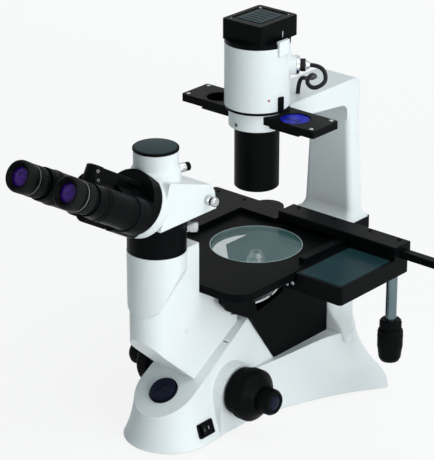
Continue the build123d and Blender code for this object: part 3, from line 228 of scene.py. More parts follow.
# Camera at the photograph's angle, in metres and degrees
CAMERA_AT = Vector((1.5674864, -1.8996408, 1.2581253))
CAMERA_AZIMUTH = 40.6
CAMERA_PITCH = 23.1
CAMERA_LENS = 178.2
CAMERA_SENSOR = 36.0
CAMERA_CLIP = 50.0

# Floor, world and lamps, in metres and watts; a lamp's last value says whether gloss mirrors it
FLOOR_SIZE = 12.0
FLOOR_COLOUR = (0.86, 0.87, 0.875, 1.0)
FLOOR_ROUGHNESS = 0.6
FLOOR_GLOW = 0.85
WHITE = (1.0, 1.0, 1.0, 1.0)
SOFT_TINT = (0.80, 0.975, 1.0, 1.0)
SOFT_LEFT = 0.05
SOFT_RIGHT = 0.60
LAMP_TARGET = Vector((0, 0, 0.2))
LAMPS = (
    ("key_right", (2.15, -0.75, 0.38), (1.5, 1.2), 25.5, True),
    ("top_soft", (1.3, 0.1, 2.0), (1.8, 1.8), 20.0, True),
    ("rear_fill", (-1.4, 1.9, 1.1), (1.5, 1.2), 12.0, False),
)

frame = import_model()
nodes = frame["nodes"]


class Nodes:
    """Short way to build one material's node tree."""

    def __init__(self, name):
        self.material = bpy.data.materials.new(name)
        self.material.use_nodes = True
        self.tree = self.material.node_tree
        self.shader = self.tree.nodes["Principled BSDF"]
        self.place = self.add("ShaderNodeTexCoord").outputs["Object"]

    def add(self, kind, **sockets):
        node = self.tree.nodes.new(kind)
        for key, value in sockets.items():
            node.inputs[key.replace("_", " ")].default_value = value
        return node

    def link(self, source, target):
        self.tree.links.new(source, target)

    def feed(self, **sockets):
        """Link sources to the shader's sockets."""
        for key, source in sockets.items():
            self.link(source, self.shader.inputs[key.replace("_", " ")])

    def set(self, **sockets):
        """Set constants on the shader's own sockets."""
        for key, value in sockets.items():
            self.shader.inputs[key.replace("_", " ")].default_value = value

    def noise(self, scale, detail=3.0, stretch=None):
        noise = self.add("ShaderNodeTexNoise", Scale=scale, Detail=detail, Roughness=0.55)
        source = self.place
        if stretch:
            mapping = self.add("ShaderNodeMapping", Scale=stretch)
            self.link(source, mapping.inputs["Vector"])
            source = mapping.outputs["Vector"]
        self.link(source, noise.inputs["Vector"])
        return noise.outputs["Fac"]

    def tones(self, value, shade, colour, start):
        """Colour that goes from shade to colour over the middle of a value, from start to one less start."""
        ramp = self.add("ShaderNodeValToRGB")
        for element, position, tone in zip(ramp.color_ramp.elements, (start, 1 - start), (shade, colour)):
            element.position = position
            element.color = (*tone, 1.0)
        self.link(value, ramp.inputs["Fac"])
        return ramp.outputs["Color"]

    def spread(self, value, low, high):
        spread = self.add("ShaderNodeMapRange", To_Min=low, To_Max=high)
        self.link(value, spread.inputs["Value"])
        return spread.outputs["Result"]

    def rounded_normal(self, radius):
        """Normal that rounds off sharp edges."""
        bevel = self.add("ShaderNodeBevel", Radius=radius)
        bevel.samples = 4
        return bevel.outputs["Normal"]

    def bump(self, height, strength, distance, edge):
        """Fine relief over softly rounded edges."""
        bump = self.add("ShaderNodeBump", Strength=strength, Distance=distance)
        self.link(height, bump.inputs["Height"])
        self.link(self.rounded_normal(edge), bump.inputs["Normal"])
        self.feed(Normal=bump.outputs["Normal"])

    def painted_edge_highlight(self, colour, bright, radius, share):
        """Colour mixed towards bright where the surface turns sharply: a painted edge highlight."""
        geometry = self.add("ShaderNodeNewGeometry")
        turn = self.add("ShaderNodeVectorMath")
        turn.operation = "DOT_PRODUCT"
        self.link(self.rounded_normal(radius), turn.inputs[0])
        self.link(geometry.outputs["Normal"], turn.inputs[1])
        amount = self.add("ShaderNodeMapRange", From_Min=0.97, From_Max=0.75, To_Min=0.0, To_Max=share)
        self.link(turn.outputs["Value"], amount.inputs["Value"])
        # For colours the mix node takes inputs 6 and 7 and gives output 2
        mix = self.add("ShaderNodeMix")
        mix.data_type = "RGBA"
        self.link(amount.outputs["Result"], mix.inputs["Factor"])
        self.link(colour, mix.inputs[6])
        mix.inputs[7].default_value = (*bright, 1.0)
        return mix.outputs[2]


def enamel(name, colour, shade, roughness, grain, edge, specular, bright=None):
    """Sprayed enamel: faint orange peel, cloudy tone, uneven gloss; bright is the tone of a painted
    highlight on its sharp edges.
    """
    made = Nodes(name)
    tone = made.tones(made.noise(scale=14.0, detail=2.0), shade, colour, start=0.35)
    # Sharp edges are lightened towards bright: a painted edge highlight
    if bright:
        tone = made.painted_edge_highlight(tone, bright, edge, share=0.6)
    gloss = made.spread(made.noise(scale=60.0), roughness - 0.05, roughness + 0.06)
    made.feed(Base_Color=tone, Roughness=gloss)
    made.bump(made.noise(grain, detail=2.0), strength=0.12, distance=0.00006, edge=edge)
    made.set(Specular_IOR_Level=specular)
    return made.material


def plastic(name, colour, shade, roughness, grain, specular):
    """Moulded plastic with a fine spark-eroded grain."""
    made = Nodes(name)
    tone = made.tones(made.noise(scale=40.0), shade, colour, start=0.3)
    gloss = made.spread(made.noise(scale=150.0), roughness - 0.06, roughness + 0.08)
    made.feed(Base_Color=tone, Roughness=gloss)
    made.bump(made.noise(grain, detail=4.0), strength=0.25, distance=0.0001, edge=0.0006)
    made.set(Specular_IOR_Level=specular)
    return made.material


def metal(name, colour, shade, roughness, stretch, metallic=1.0):
    """Bare or plated metal with fine lines from turning or grinding."""
    made = Nodes(name)
    lines = made.noise(scale=900.0, detail=2.0, stretch=stretch)
    tone = made.tones(made.noise(scale=30.0), shade, colour, start=0.3)
    gloss = made.spread(lines, roughness * 0.7, roughness * 1.4)
    made.feed(Base_Color=tone, Roughness=gloss)
    made.bump(lines, strength=0.08, distance=0.00003, edge=0.0004)
    made.set(Metallic=metallic)
    return made.material


def glass(name, edge_colour, core_colour, roughness, alpha=1.0, scale=180.0, coat=1.0, specular=0.5):
    """Optical glass: deep tone with a slightly uneven core."""
    made = Nodes(name)
    made.feed(Base_Color=made.tones(made.noise(scale, detail=1.0), edge_colour, core_colour, start=0.35))
    made.set(Roughness=roughness, IOR=1.6, Coat_Weight=coat, Coat_Roughness=0.03, Alpha=alpha,
             Specular_IOR_Level=specular)
    return made.material


# Looks of the material slots; the last three tuples stretch the fine lines in metal
BLACK = (0.003, 0.0038, 0.0041)
BLACK_SHADE = (0.0022, 0.0028, 0.003)
# Lighter black of the painted highlight on sharp edges of black paint
BLACK_EDGE_HIGHLIGHT = (0.016, 0.02, 0.022)
TURNED = (1.0, 1.0, 0.1)
GROUND = (1.0, 0.06, 0.06)
POLISHED = (1.0, 1.0, 1.0)
looks = {
    "white_paint": enamel("white_enamel", (0.80, 0.83, 0.835), (0.775, 0.81, 0.82),
                          roughness=0.34, grain=700.0, edge=0.0012, specular=0.2),
    # Black paint with a painted highlight on its sharp edges
    "black_paint": enamel("black_enamel", BLACK, BLACK_SHADE,
                          roughness=0.34, grain=1600.0, edge=0.0007, specular=0.03, bright=BLACK_EDGE_HIGHLIGHT),
    "black_plastic": plastic("black_plastic", (0.004, 0.0045, 0.0048), (0.0028, 0.003, 0.0032),
                             roughness=0.42, grain=1800.0, specular=0.03),
    "navy_plastic": plastic("navy_plastic", (0.006, 0.009, 0.028), (0.004, 0.006, 0.017),
                            roughness=0.30, grain=1500.0, specular=0.06),
    "rubber": plastic("foot_rubber", (0.009, 0.0095, 0.0095), (0.006, 0.0065, 0.0065),
                      roughness=0.62, grain=1200.0, specular=0.08),
    "cable_rubber": plastic("cable_sheath", (0.006, 0.0065, 0.0075), (0.004, 0.0045, 0.005),
                            roughness=0.3, grain=1500.0, specular=0.2),
    "steel": metal("ground_steel", (0.56, 0.58, 0.6), (0.46, 0.48, 0.5), roughness=0.32, stretch=GROUND),
    "chrome": metal("chrome_plate", (0.56, 0.59, 0.60), (0.47, 0.50, 0.51), roughness=0.14, stretch=TURNED),
    "iron": metal("core_iron", (0.2, 0.2, 0.2), (0.14, 0.14, 0.14), roughness=0.55, stretch=TURNED),
    "mirror": metal("mirror_coat", (0.85, 0.87, 0.88), (0.82, 0.85, 0.86), roughness=0.04, stretch=POLISHED),
    "stage_glass": glass("stage_glass", (0.13, 0.28, 0.285), (0.17, 0.335, 0.34),
                         roughness=0.05, alpha=0.36, scale=22.0, coat=0.1, specular=0.2),
    "clear_glass": glass("clear_glass", (0.72, 0.78, 0.78), (0.8, 0.85, 0.85), roughness=0.04, alpha=0.5),
    "coated_glass": glass("violet_coating", (0.022, 0.002, 0.10), (0.075, 0.008, 0.30),
                          roughness=0.12, scale=260.0, coat=0.08, specular=0.08),
    "blue_glass": glass("blue_filter_glass", (0.004, 0.006, 0.16), (0.014, 0.024, 0.62),
                        roughness=0.25, alpha=0.97, scale=120.0, coat=0.0, specular=0.03),
}

# Looks of single nodes and details
eye_ring_grey = enamel("eye_ring_grey", (0.15, 0.15, 0.13), (0.12, 0.12, 0.105),
                       roughness=0.4, grain=900.0, edge=0.0003, specular=0.3)
# Lighter teal for the tops of black parts: a painted reflection of the studio on them
painted_top_reflection = enamel("painted_top_reflection", (0.016, 0.050, 0.058), (0.013, 0.042, 0.049),
                     roughness=0.24, grain=1600.0, edge=0.0005, specular=0.03)
# Stage black, also with a painted highlight on its sharp edges
stage_black = enamel("stage_black", BLACK, BLACK_SHADE,
                     roughness=0.4, grain=1600.0, edge=0.0007, specular=0.02, bright=BLACK_EDGE_HIGHLIGHT)
satin_chrome = metal("satin_chrome", (0.66, 0.69, 0.70), (0.58, 0.61, 0.62),
                     roughness=0.22, stretch=TURNED, metallic=0.7)
# Darker teal chrome for the drop tube: its teal tone is a painted reflection of the studio
rod_chrome = metal("rod_chrome", (0.16, 0.22, 0.24), (0.13, 0.19, 0.21),
                   roughness=0.2, stretch=TURNED, metallic=0.9)
mark_white = enamel("mark_white", (0.55, 0.57, 0.57), (0.48, 0.5, 0.5),
                    roughness=0.5, grain=900.0, edge=0.0002, specular=0.3)
mark_red = enamel("mark_red", (0.42, 0.12, 0.11), (0.36, 0.10, 0.09),
                  roughness=0.5, grain=900.0, edge=0.0002, specular=0.3)
# Near-black tone for the shade inside vents, the notch and the grub screw's hole: painted shade
painted_hole_shade = plastic("painted_hole_shade", (0.004, 0.004, 0.004), (0.002, 0.002, 0.002),
                    roughness=0.8, grain=900.0, specular=0.1)
glass_edge = enamel("glass_edge", (0.40, 0.50, 0.50), (0.34, 0.44, 0.44),
                    roughness=0.25, grain=900.0, edge=0.0002, specular=0.5)
node_looks = {
    "stage_plate": stage_black,
    "stage_bracket": stage_black,
    "objectives": satin_chrome,
    # The drop tube takes the chrome with the painted teal reflection
    "drop_tube": rod_chrome,
}
for entry in frame["record"]["subparts"]:
    materials = nodes[entry["node"]].data.materials
    materials.clear()
    materials.append(node_looks.get(entry["node"], looks[entry["material_slot"]]))


def cord_curve(name, route, diameter):
    """Smooth round cord along control points in millimetres."""
    curve = bpy.data.curves.new(name, "CURVE")
    curve.dimensions = "3D"
    spline = curve.splines.new("NURBS")
    spline.points.add(len(route) - 1)
    for point, place in zip(spline.points, route):
        point.co = (*(Vector(place) * MM), 1.0)
    spline.order_u = 3
    spline.use_endpoint_u = True
    spline.resolution_u = 12
    curve.bevel_depth = diameter / 2 * MM
    curve.bevel_resolution = 6
    curve.use_fill_caps = True
    piece = bpy.data.objects.new(name, curve)
    bpy.context.scene.collection.objects.link(piece)
    return piece


lead = cord_curve("lamp_cord", LEAD_ROUTE, LEAD_DIAMETER)
lead.data.materials.append(looks["cable_rubber"])
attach(lead, "frame")
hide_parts("lamp_lead")


def local_frame(at, axis, across=None):
    """Matrix with Z along axis and X as near to across as it can be; millimetres to metres."""
    z = Vector(axis).normalized()
    x = Vector(across) if across else (Z_AXIS if abs(z.z) < 0.9 else X_AXIS)
    x = (x - z * x.dot(z)).normalized()
    y = z.cross(x)
    turn = Matrix((x, y, z)).transposed().to_4x4()
    return Matrix.Translation(Vector(at) * MM) @ turn @ Matrix.Scale(MM, 4)


def swept_rings(rings, closed):
    """Faces between successive rings of equal length, with the ends joined or capped."""
    count = len(rings[0])
    verts = [vert for ring in rings for vert in ring]
    faces = []
    spans = len(rings) if closed else len(rings) - 1
    for i in range(spans):
        low = i * count
        high = (i + 1) % len(rings) * count
        for j in range(count):
            k = (j + 1) % count
            faces.append((low + j, low + k, high + k, high + j))
    if not closed:
        faces.append(tuple(reversed(range(count))))
        faces.append(tuple(range((len(rings) - 1) * count, len(rings) * count)))
    return verts, faces


def add_piece(name, rings, closed, matrix, body, slot, look=None):
    """Mesh between rings, hung on a body; its look is the slot's unless another is given."""
    verts, faces = swept_rings(rings, closed)
    mesh = bpy.data.meshes.new(name)
    mesh.from_pydata([matrix @ Vector(vert) for vert in verts], [], faces)
    mesh.materials.append(look or looks[slot])
    for polygon in mesh.polygons:
        polygon.use_smooth = True
    mesh.set_sharp_from_angle(angle=SHARP_ANGLE)
    piece = bpy.data.objects.new(name, mesh)
    bpy.context.scene.collection.objects.link(piece)
    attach(piece, body)


def ring_of(radii, height):
    """Points of a ring at one height, from its radius at equal steps of the turn."""
    points = []
    for step, radius in enumerate(radii):
        angle = 2 * math.pi * step / len(radii)
        points.append((radius * math.cos(angle), radius * math.sin(angle), height))
    return points


def turned_ring(name, at, axis, body, slot, profile, radius=0.0, height=0.0, closed=True, steps=64,
                look=None):
    """Turned piece: profile steps from radius and height; closed makes a ring, open a flat-ended solid."""
    rings = [ring_of([radius + out] * steps, height + rise) for out, rise in profile]
    add_piece(name, rings, closed, local_frame(at, axis), body, slot, look)


def fluted_ring(name, at, axis, body, slot, inner, low, high, start, end, count, look=None):
    """Grip ring: count rounded ribs round a thin sleeve, bevelled at both ends."""
    bevel = min(GRIP_BEVEL, (end - start) / 4)
    sleeve = [inner] * count * len(RIB_SHAPE)
    faded = [low + (high - low) * rib * RIB_AT_END for rib in RIB_SHAPE * count]
    full = [low + (high - low) * rib for rib in RIB_SHAPE * count]
    rings = [ring_of(sleeve, start), ring_of(faded, start), ring_of(full, start + bevel),
             ring_of(full, end - bevel), ring_of(faded, end), ring_of(sleeve, end)]
    add_piece(name, rings, True, local_frame(at, axis), body, slot, look)


def socket_screw(name, at, axis, body, slot, radius, height, look=None):
    """Button-head screw with a hexagon socket, standing height above its seat."""
    rings = [ring_of([radius] * SCREW_STEPS, -SEAT_SINK)]
    for width, level in SCREW_HEAD:
        rings.append(ring_of([radius * width] * SCREW_STEPS, height * level))
    socket = []
    for step in range(SCREW_STEPS):
        angle = 2 * math.pi * step / SCREW_STEPS
        reach = math.cos(math.pi / 6) / math.cos((angle % (math.pi / 3)) - math.pi / 6)
        socket.append(radius * SOCKET_SHARE * reach)
    rings += [ring_of(socket, height), ring_of(socket, SOCKET_FLOOR)]
    add_piece(name, rings, False, local_frame(at, axis), body, slot, look)


def thin_plate(name, at, axis, across, body, slot, size, thick, corner, look=None):
    """Thin plate with rounded corners and a bevelled top edge, centred on its place."""
    half_x = size[0] / 2
    half_y = size[1] / 2
    bevel = min(thick * PLATE_BEVEL_OF_THICK, corner * PLATE_BEVEL_OF_CORNER)

    def outline(shrink, level):
        points = []
        reach = max(corner - shrink, PLATE_ROUND_MIN)
        for quarter, (sign_x, sign_y) in enumerate(((1, 1), (-1, 1), (-1, -1), (1, -1))):
            for step in range(PLATE_CORNER_STEPS + 1):
                angle = math.pi / 2 * (quarter + step / PLATE_CORNER_STEPS)
                points.append((sign_x * (half_x - corner) + reach * math.cos(angle),
                               sign_y * (half_y - corner) + reach * math.sin(angle), level))
        return points

    rings = [outline(0, -SEAT_SINK), outline(0, thick - bevel), outline(bevel, thick)]
    add_piece(name, rings, False, local_frame(at, axis, across), body, slot, look)


def eye_place(side):
    """Foot of one eyepiece's axis beside the hub."""
    return HUB + X_AXIS * side * PUPIL_HALF - TUBE_UP * PUPIL_DROP


def panel_place(x, y):
    """Place on the sloping front panel."""
    return Vector((x, y, DIAL.z + (y - DIAL.y) * math.tan(PANEL_SLOPE)))


def four_corners(half_x, ys, z):
    """Places of four screws and a word for each: left or right, then front or back."""
    for x, side in ((-half_x, "l"), (half_x, "r")):
        for y, depth in zip(ys, "fb"):
            yield Vector((x, y, z)), side + depth


# Binocular: eyecups, light rings, tube grips and bands, dioptre grip, pivot screws and washer
for side, word in SIDES:
    eye_at = eye_place(side)
    ocular = f"{word}_ocular_body"
    turned_ring(f"{word}_eyecup", eye_at, TUBE_AXIS, ocular, "rubber", EYECUP, EYE_R, EYE_END)
    turned_ring(f"{word}_light_ring", eye_at, TUBE_AXIS, ocular, "steel", LIGHT_RING, EYE_R, EYE_END,
                look=eye_ring_grey)
    fluted_ring(f"{word}_tube_grip", eye_at, TUBE_AXIS, ocular, "rubber",
                inner=EYE_R - 0.5, low=EYE_R + 0.05, high=EYE_R + 0.45,
                start=EYE_END - 31, end=EYE_END - 21.5, count=48)
    turned_ring(f"{word}_tube_band", eye_at, TUBE_AXIS, ocular, "black_plastic", TUBE_BAND)
fluted_ring("diopter_grip", eye_place(-1), TUBE_AXIS, "diopter", "black_plastic",
            inner=17.8, low=18.3, high=18.8, start=113.2, end=122.6, count=44)
for word, degrees, rise in (("upper", 35, 18.6), ("lower", 15, 9.5)):
    turn = math.radians(degrees)
    wall_out = X_AXIS * math.cos(turn) + TUBE_AXIS * math.sin(turn)
    wall_at = HUB + TUBE_AXIS * BRIDGE_ROUND_AT + wall_out * BRIDGE_HALF + TUBE_UP * rise
    socket_screw(f"pivot_screw_{word}", wall_at, wall_out, "frame", "iron", radius=2.0, height=0.8)
turned_ring("pivot_washer", PIVOT_TOP, TUBE_UP, "frame", "black_paint", PIVOT_WASHER)
socket_screw("pivot_screw_top", PIVOT_TOP, TUBE_UP, "frame", "steel", radius=4.4, height=1.2)

# Head, port, column and the ledge beside it
turned_ring("port_cap_rim", PORT_CAP, Z_AXIS, "frame", "black_plastic", PORT_CAP_RIM, PORT_R)
# The cap's face takes the painted reflection tone
turned_ring("port_cap_face", PORT_CAP, Z_AXIS, "frame", "black_plastic", PORT_CAP_FACE, PORT_R, closed=False,
            look=painted_top_reflection)
fluted_ring("port_screw_collar", PORT_SCREW, PORT_SCREW_DIR, "port_screw", "chrome",
            inner=3.0, low=5.05, high=5.4, start=28.6, end=37.0, count=20)
fluted_ring("head_screw_knurl", HEAD_SCREW, HEAD_SCREW_DIR, "head_screw", "chrome",
            inner=3.0, low=5.45, high=5.8, start=36.5, end=44.5, count=22)
turned_ring("rod_groove", LIGHT_ROD, X_AXIS, "light_path", "black_plastic", ROD_GROOVE)
socket_screw("column_set_screw", COLUMN_SCREW, X_AXIS, "frame", "white_paint", radius=3.0, height=0.5)
for rib in range(LEDGE_RIBS):
    rib_at = panel_place(LEDGE_X, LEDGE_RIB_Y + LEDGE_RIB_PITCH * rib)
    thin_plate(f"ledge_rib_{rib}", rib_at, DIAL_AXIS, X_AXIS, "frame", "white_paint",
               size=(8.4, 1.0), thick=0.5, corner=0.4)
# Dark sheet for the notch: painted shade
thin_plate("ledge_notch", panel_place(LEDGE_X, LEDGE_NOTCH_Y), DIAL_AXIS, X_AXIS, "frame", "black_plastic",
           size=(7.0, 1.3), thick=0.25, corner=0.4, look=painted_hole_shade)

# Lamp cap and house, arm, slider and plug
cap_screw_ys = (CAP_CENTRE_Y - CAP_SCREW_REACH, CAP_CENTRE_Y + CAP_SCREW_REACH)
for screw_at, word in four_corners(CAP_SCREW_X, cap_screw_ys, CAP_SCREW_SEAT):
    socket_screw(f"cap_screw_{word}", screw_at, Z_AXIS, "frame", "steel", radius=2.2, height=1.3)
# The vent plate takes the painted reflection tone
thin_plate("cap_vent_plate", Vector((0, CAP_CENTRE_Y, VENT_PLATE_SEAT)), Z_AXIS, X_AXIS, "frame",
           "black_paint", size=(34, 40), thick=0.6, corner=2.0, look=painted_top_reflection)
# Dark strips for the vent slots: painted shade
for line in range(VENTS):
    vent_at = Vector((0, CAP_CENTRE_Y + VENT_PITCH * (line - VENTS // 2), VENT_SEAT))
    thin_plate(f"cap_vent_{line}", vent_at, Z_AXIS, X_AXIS, "frame", "black_plastic",
               size=(26, 1.6), thick=0.2, corner=0.7, look=painted_hole_shade)
thin_plate("cap_slit", CAP_SLIT, X_AXIS, Z_AXIS, "frame", "black_paint",
           size=(8.2, 1.3), thick=0.2, corner=0.6, look=mark_white)
turned_ring("house_index_dot", INDEX_DOT_DIR * LAMP_R + Z_AXIS * INDEX_DOT_Z, INDEX_DOT_DIR, "frame",
            "white_paint", INDEX_DOT, closed=False, steps=20, look=mark_red)
# Grub screw in the painted shade tone of its hole
socket_screw("arm_grub_screw", ARM_SCREW_DIR * ARM_EYE_R + Z_AXIS * ARM_SCREW_Z, ARM_SCREW_DIR, "frame",
             "black_plastic", radius=2.2, height=0.35, look=painted_hole_shade)
for screw_at, word in four_corners(SLIDER_SCREW_X, SLIDER_SCREW_YS, SLIDER_TOP):
    socket_screw(f"slider_screw_{word}", screw_at, Z_AXIS, "slider", "chrome", radius=2.3, height=0.8)
for x, word in ((-SLIDER_STOP, "l"), (SLIDER_STOP, "r")):
    turned_ring(f"slider_hole_rim_{word}", Vector((x, 0, SLIDER_TOP)), Z_AXIS, "slider", "black_plastic",
                SLIDER_HOLE_RIM)
turned_ring("connector_nut", PLUG_AXIS_AT, PLUG_DIR, "frame", "chrome", CONNECTOR_NUT, height=BOSS_END)
fluted_ring("plug_grip", PLUG_AXIS_AT, PLUG_DIR, "frame", "cable_rubber",
            inner=5.0, low=7.05, high=7.5, start=BOSS_END + 4.2, end=BOSS_END + 10, count=18)

# Stage: edge of the glass, a thin sheet on the carriage top in the painted reflection tone, screws of rail,
# carriage and holder
turned_ring("glass_edge_ring", STAGE_CENTRE, Z_AXIS, "frame", "stage_glass", GLASS_EDGE_RING, GLASS_R,
            steps=128, look=glass_edge)
# Thin sheet on the carriage top in the painted reflection tone
thin_plate("carriage_reflection_sheet", CARRIAGE_REFLECTION_SHEET, Z_AXIS, X_AXIS, "y_carriage", "black_paint",
           size=(60, 94), thick=0.25, corner=3.0, look=painted_top_reflection)
for x in RAIL_SCREWS:
    socket_screw(f"rail_screw_{int(x - RAIL_SCREWS[0])}", Vector((x, RAIL_Y, RAIL_TOP)), Z_AXIS,
                 "y_carriage", "black_plastic", radius=2.6, height=0.9)
for x, z in CARRIAGE_SCREWS:
    socket_screw(f"carriage_screw_{int(x)}", Vector((x, CARRIAGE_FRONT, z)), -Y_AXIS, "y_carriage", "steel",
                 radius=2.2, height=0.9)
for x in HOLDER_SCREWS:
    socket_screw(f"holder_screw_{int(-x)}", Vector((x, HOLDER_Y, HOLDER_TOP)), Z_AXIS, "x_holder",
                 "black_plastic", radius=2.4, height=0.8)

# Objectives: knurled ring, band and front lens on each
for index, (radius, length) in enumerate(OBJECTIVES):
    turn = math.radians(90 + 90 * index)
    spoke = X_AXIS * math.cos(turn) + TURRET_OUT * math.sin(turn)
    seat = TURRET_AT + spoke * TURRET_R
    tilt = spoke * math.sin(TURRET_TILT) + TURRET_UP * math.cos(TURRET_TILT)
    fluted_ring(f"objective_knurl_{index}", seat, tilt, "nosepiece", "chrome",
                inner=radius - 1.0, low=radius - 0.05, high=radius + 0.35, start=2.2, end=5.2, count=40,
                look=satin_chrome)
    turned_ring(f"objective_band_{index}", seat, tilt, "nosepiece", "chrome", OBJECTIVE_BAND, radius,
                look=mark_red if index == RED_BAND else eye_ring_grey)
    turned_ring(f"objective_lens_{index}", seat, tilt, "nosepiece", "coated_glass", OBJECTIVE_LENS,
                height=length, closed=False, steps=32)

# Focus knobs on both sides
for side, word in SIDES:
    out = X_AXIS * side
    fluted_ring(f"coarse_grip_{word}", FOCUS, out, "coarse", "black_plastic",
                inner=COARSE_R - 1.5, low=COARSE_R - 0.15, high=COARSE_R + 0.65,
                start=COARSE_INNER + 12.4, end=COARSE_OUTER - 11.2, count=36)
    fluted_ring(f"tension_grip_{word}", FOCUS, out, "coarse", "black_plastic",
                inner=COARSE_R - 4, low=COARSE_R - 2.6, high=COARSE_R - 1.9,
                start=COARSE_INNER + 3.2, end=COARSE_INNER + 10.2, count=30)
    turned_ring(f"coarse_shoulder_{word}", FOCUS, out, "coarse", "black_paint", COARSE_SHOULDER, FINE_R,
                COARSE_OUTER)
    fluted_ring(f"fine_grip_{word}", FOCUS, out, "fine", "black_plastic",
                inner=FINE_R - 1.2, low=FINE_R - 0.1, high=FINE_R + 0.5,
                start=FINE_END - 15, end=FINE_END - 3.4, count=30)
    turned_ring(f"fine_cap_{word}", FOCUS, out, "fine", "navy_plastic", FINE_CAP, height=FINE_END,
                closed=False)

# Drop knobs
fluted_ring("y_knob_grip", DROP, Z_AXIS, "y_drive", "black_plastic",
            inner=Y_KNOB_R - 1, low=Y_KNOB_R - 0.1, high=Y_KNOB_R + 0.8,
            start=Y_KNOB_LOW + 0.8, end=Y_KNOB_HIGH - 1.6, count=16)
fluted_ring("x_knob_grip", DROP, Z_AXIS, "x_drive", "black_plastic",
            inner=X_KNOB_R - 1.2, low=X_KNOB_R - 0.2, high=X_KNOB_R + 0.5,
            start=X_KNOB_LOW + 16.5, end=X_KNOB_HIGH - 3.0, count=22)
turned_ring("x_knob_band", DROP, Z_AXIS, "x_drive", "black_paint", X_KNOB_BAND)

# Brightness dial and rocker switch
turned_ring("dial_rim", DIAL, DIAL_AXIS, "dial", "black_plastic", DIAL_RIM, DIAL_R)
fluted_ring("dial_grip", DIAL, DIAL_AXIS, "dial", "navy_plastic",
            inner=DIAL_R - 4.0, low=DIAL_R - 2.75, high=DIAL_R - 2.2, start=2.6, end=5.2, count=40)
dial_side = X_AXIS.cross(DIAL_AXIS)
for index in range(DENTS):
    angle = math.radians(90 + 360 / DENTS * index)
    dent_out = X_AXIS * math.cos(angle) - dial_side * math.sin(angle)
    dent_at = DIAL + dent_out * DENT_REACH + DIAL_AXIS * DENT_LEVEL
    turned_ring(f"dial_dent_{index}", dent_at, DIAL_AXIS, "dial", "black_plastic", DIAL_DENT,
                closed=False, steps=24)
rocker_turn = Matrix.Rotation(ROCKER_TILT, 3, SWITCH_UP)
rocker_out = rocker_turn @ SWITCH_OUT
rocker_along = rocker_turn @ Y_AXIS
rocker_face = SWITCH - SWITCH_OUT * PIVOT_DEPTH + rocker_out * MARK_LEVEL
turned_ring("mark_off", rocker_face + rocker_along * MARK_REACH, rocker_out, "switch", "black_plastic",
            OFF_MARK, steps=28, look=mark_white)
thin_plate("mark_on", rocker_face - rocker_along * MARK_REACH, rocker_out, Z_AXIS, "switch", "black_plastic",
           size=(3.6, 0.7), thick=0.1, corner=0.3, look=mark_white)


# Floor, world, lamps and camera
def math_node(tree, operation, first, second):
    """Math node with two inputs, each a socket or a number."""
    node = tree.nodes.new("ShaderNodeMath")
    node.operation = operation
    for socket, value in zip(node.inputs, (first, second)):
        if isinstance(value, (int, float)):
            socket.default_value = value
        else:
            tree.links.new(value, socket)
    return node.outputs[0]


def seen_ray(tree):
    """One for rays that show the background: from the camera, off gloss or through glass."""
    path = tree.nodes.new("ShaderNodeLightPath")
    direct = math_node(tree, "MAXIMUM", path.outputs["Is Camera Ray"], path.outputs["Is Transmission Ray"])
    return math_node(tree, "MAXIMUM", direct, path.outputs["Is Glossy Ray"])


def mix_by(tree, share, first, second, output):
    """Send a mix of two shaders to an output node."""
    mix = tree.nodes.new("ShaderNodeMixShader")
    for socket, source in zip(mix.inputs, (share, first.outputs[0], second.outputs[0])):
        tree.links.new(source, socket)
    tree.links.new(mix.outputs[0], tree.nodes[output].inputs["Surface"])


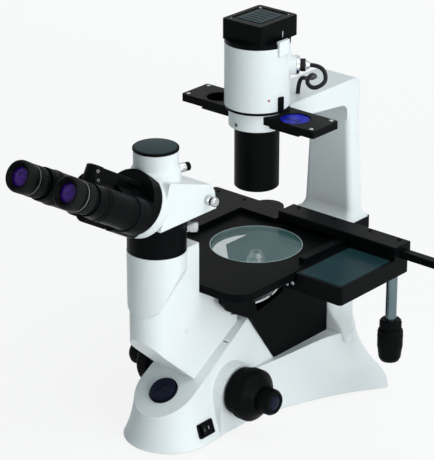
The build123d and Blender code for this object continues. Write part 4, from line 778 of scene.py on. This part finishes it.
def floor():
    """Pale floor that reads white to camera, gloss and glass, and still takes the object's shadow."""
    mesh = bpy.data.meshes.new("floor")
    half = FLOOR_SIZE / 2
    corners = [(-half, -half, 0), (half, -half, 0), (half, half, 0), (-half, half, 0)]
    mesh.from_pydata(corners, [], [(0, 1, 2, 3)])
    piece = bpy.data.objects.new("floor", mesh)
    bpy.context.scene.collection.objects.link(piece)
    made = Nodes("pale_floor")
    made.set(Base_Color=FLOOR_COLOUR, Roughness=FLOOR_ROUGHNESS)
    glow = made.add("ShaderNodeEmission", Color=WHITE)
    share = math_node(made.tree, "MULTIPLY", seen_ray(made.tree), FLOOR_GLOW)
    mix_by(made.tree, share, made.shader, glow, "Material Output")
    mesh.materials.append(made.material)


def world():
    """White to camera, gloss and glass; soft light from the right for the rest."""
    scene_world = bpy.data.worlds.new("studio")
    bpy.context.scene.world = scene_world
    scene_world.use_nodes = True
    tree = scene_world.node_tree
    place = tree.nodes.new("ShaderNodeTexCoord")
    direction = tree.nodes.new("ShaderNodeSeparateXYZ")
    tree.links.new(place.outputs["Generated"], direction.inputs["Vector"])
    level = tree.nodes.new("ShaderNodeMapRange")
    for key, value in (("From Min", -1.0), ("From Max", 1.0), ("To Min", SOFT_LEFT), ("To Max", SOFT_RIGHT)):
        level.inputs[key].default_value = value
    tree.links.new(direction.outputs["X"], level.inputs["Value"])
    soft = tree.nodes.new("ShaderNodeBackground")
    soft.inputs["Color"].default_value = SOFT_TINT
    tree.links.new(level.outputs["Result"], soft.inputs["Strength"])
    white = tree.nodes["Background"]
    white.inputs["Color"].default_value = WHITE
    mix_by(tree, seen_ray(tree), soft, white, "World Output")


def lamp(name, place, size, power, glint):
    """Soft rectangular studio lamp that faces the object; without glint, gloss doesn't mirror it."""
    data = bpy.data.lights.new(name, "AREA")
    data.shape = "RECTANGLE"
    data.size, data.size_y = size
    data.energy = power
    light = bpy.data.objects.new(name, data)
    light.visible_glossy = glint
    bpy.context.scene.collection.objects.link(light)
    light.location = place
    light.rotation_euler = (LAMP_TARGET - Vector(place)).to_track_quat("-Z", "Y").to_euler()


floor()
world()
for name, place, size, power, glint in LAMPS:
    lamp(name, place, size, power, glint)

camera = bpy.data.objects.new("camera", bpy.data.cameras.new("camera"))
bpy.context.scene.collection.objects.link(camera)
camera.location = CAMERA_AT
camera.rotation_euler = (math.radians(90 - CAMERA_PITCH), 0, math.radians(CAMERA_AZIMUTH))
camera.data.lens = CAMERA_LENS
camera.data.sensor_width = CAMERA_SENSOR
camera.data.clip_end = CAMERA_CLIP
bpy.context.scene.camera = camera
bpy.context.scene.view_settings.view_transform = "Standard"
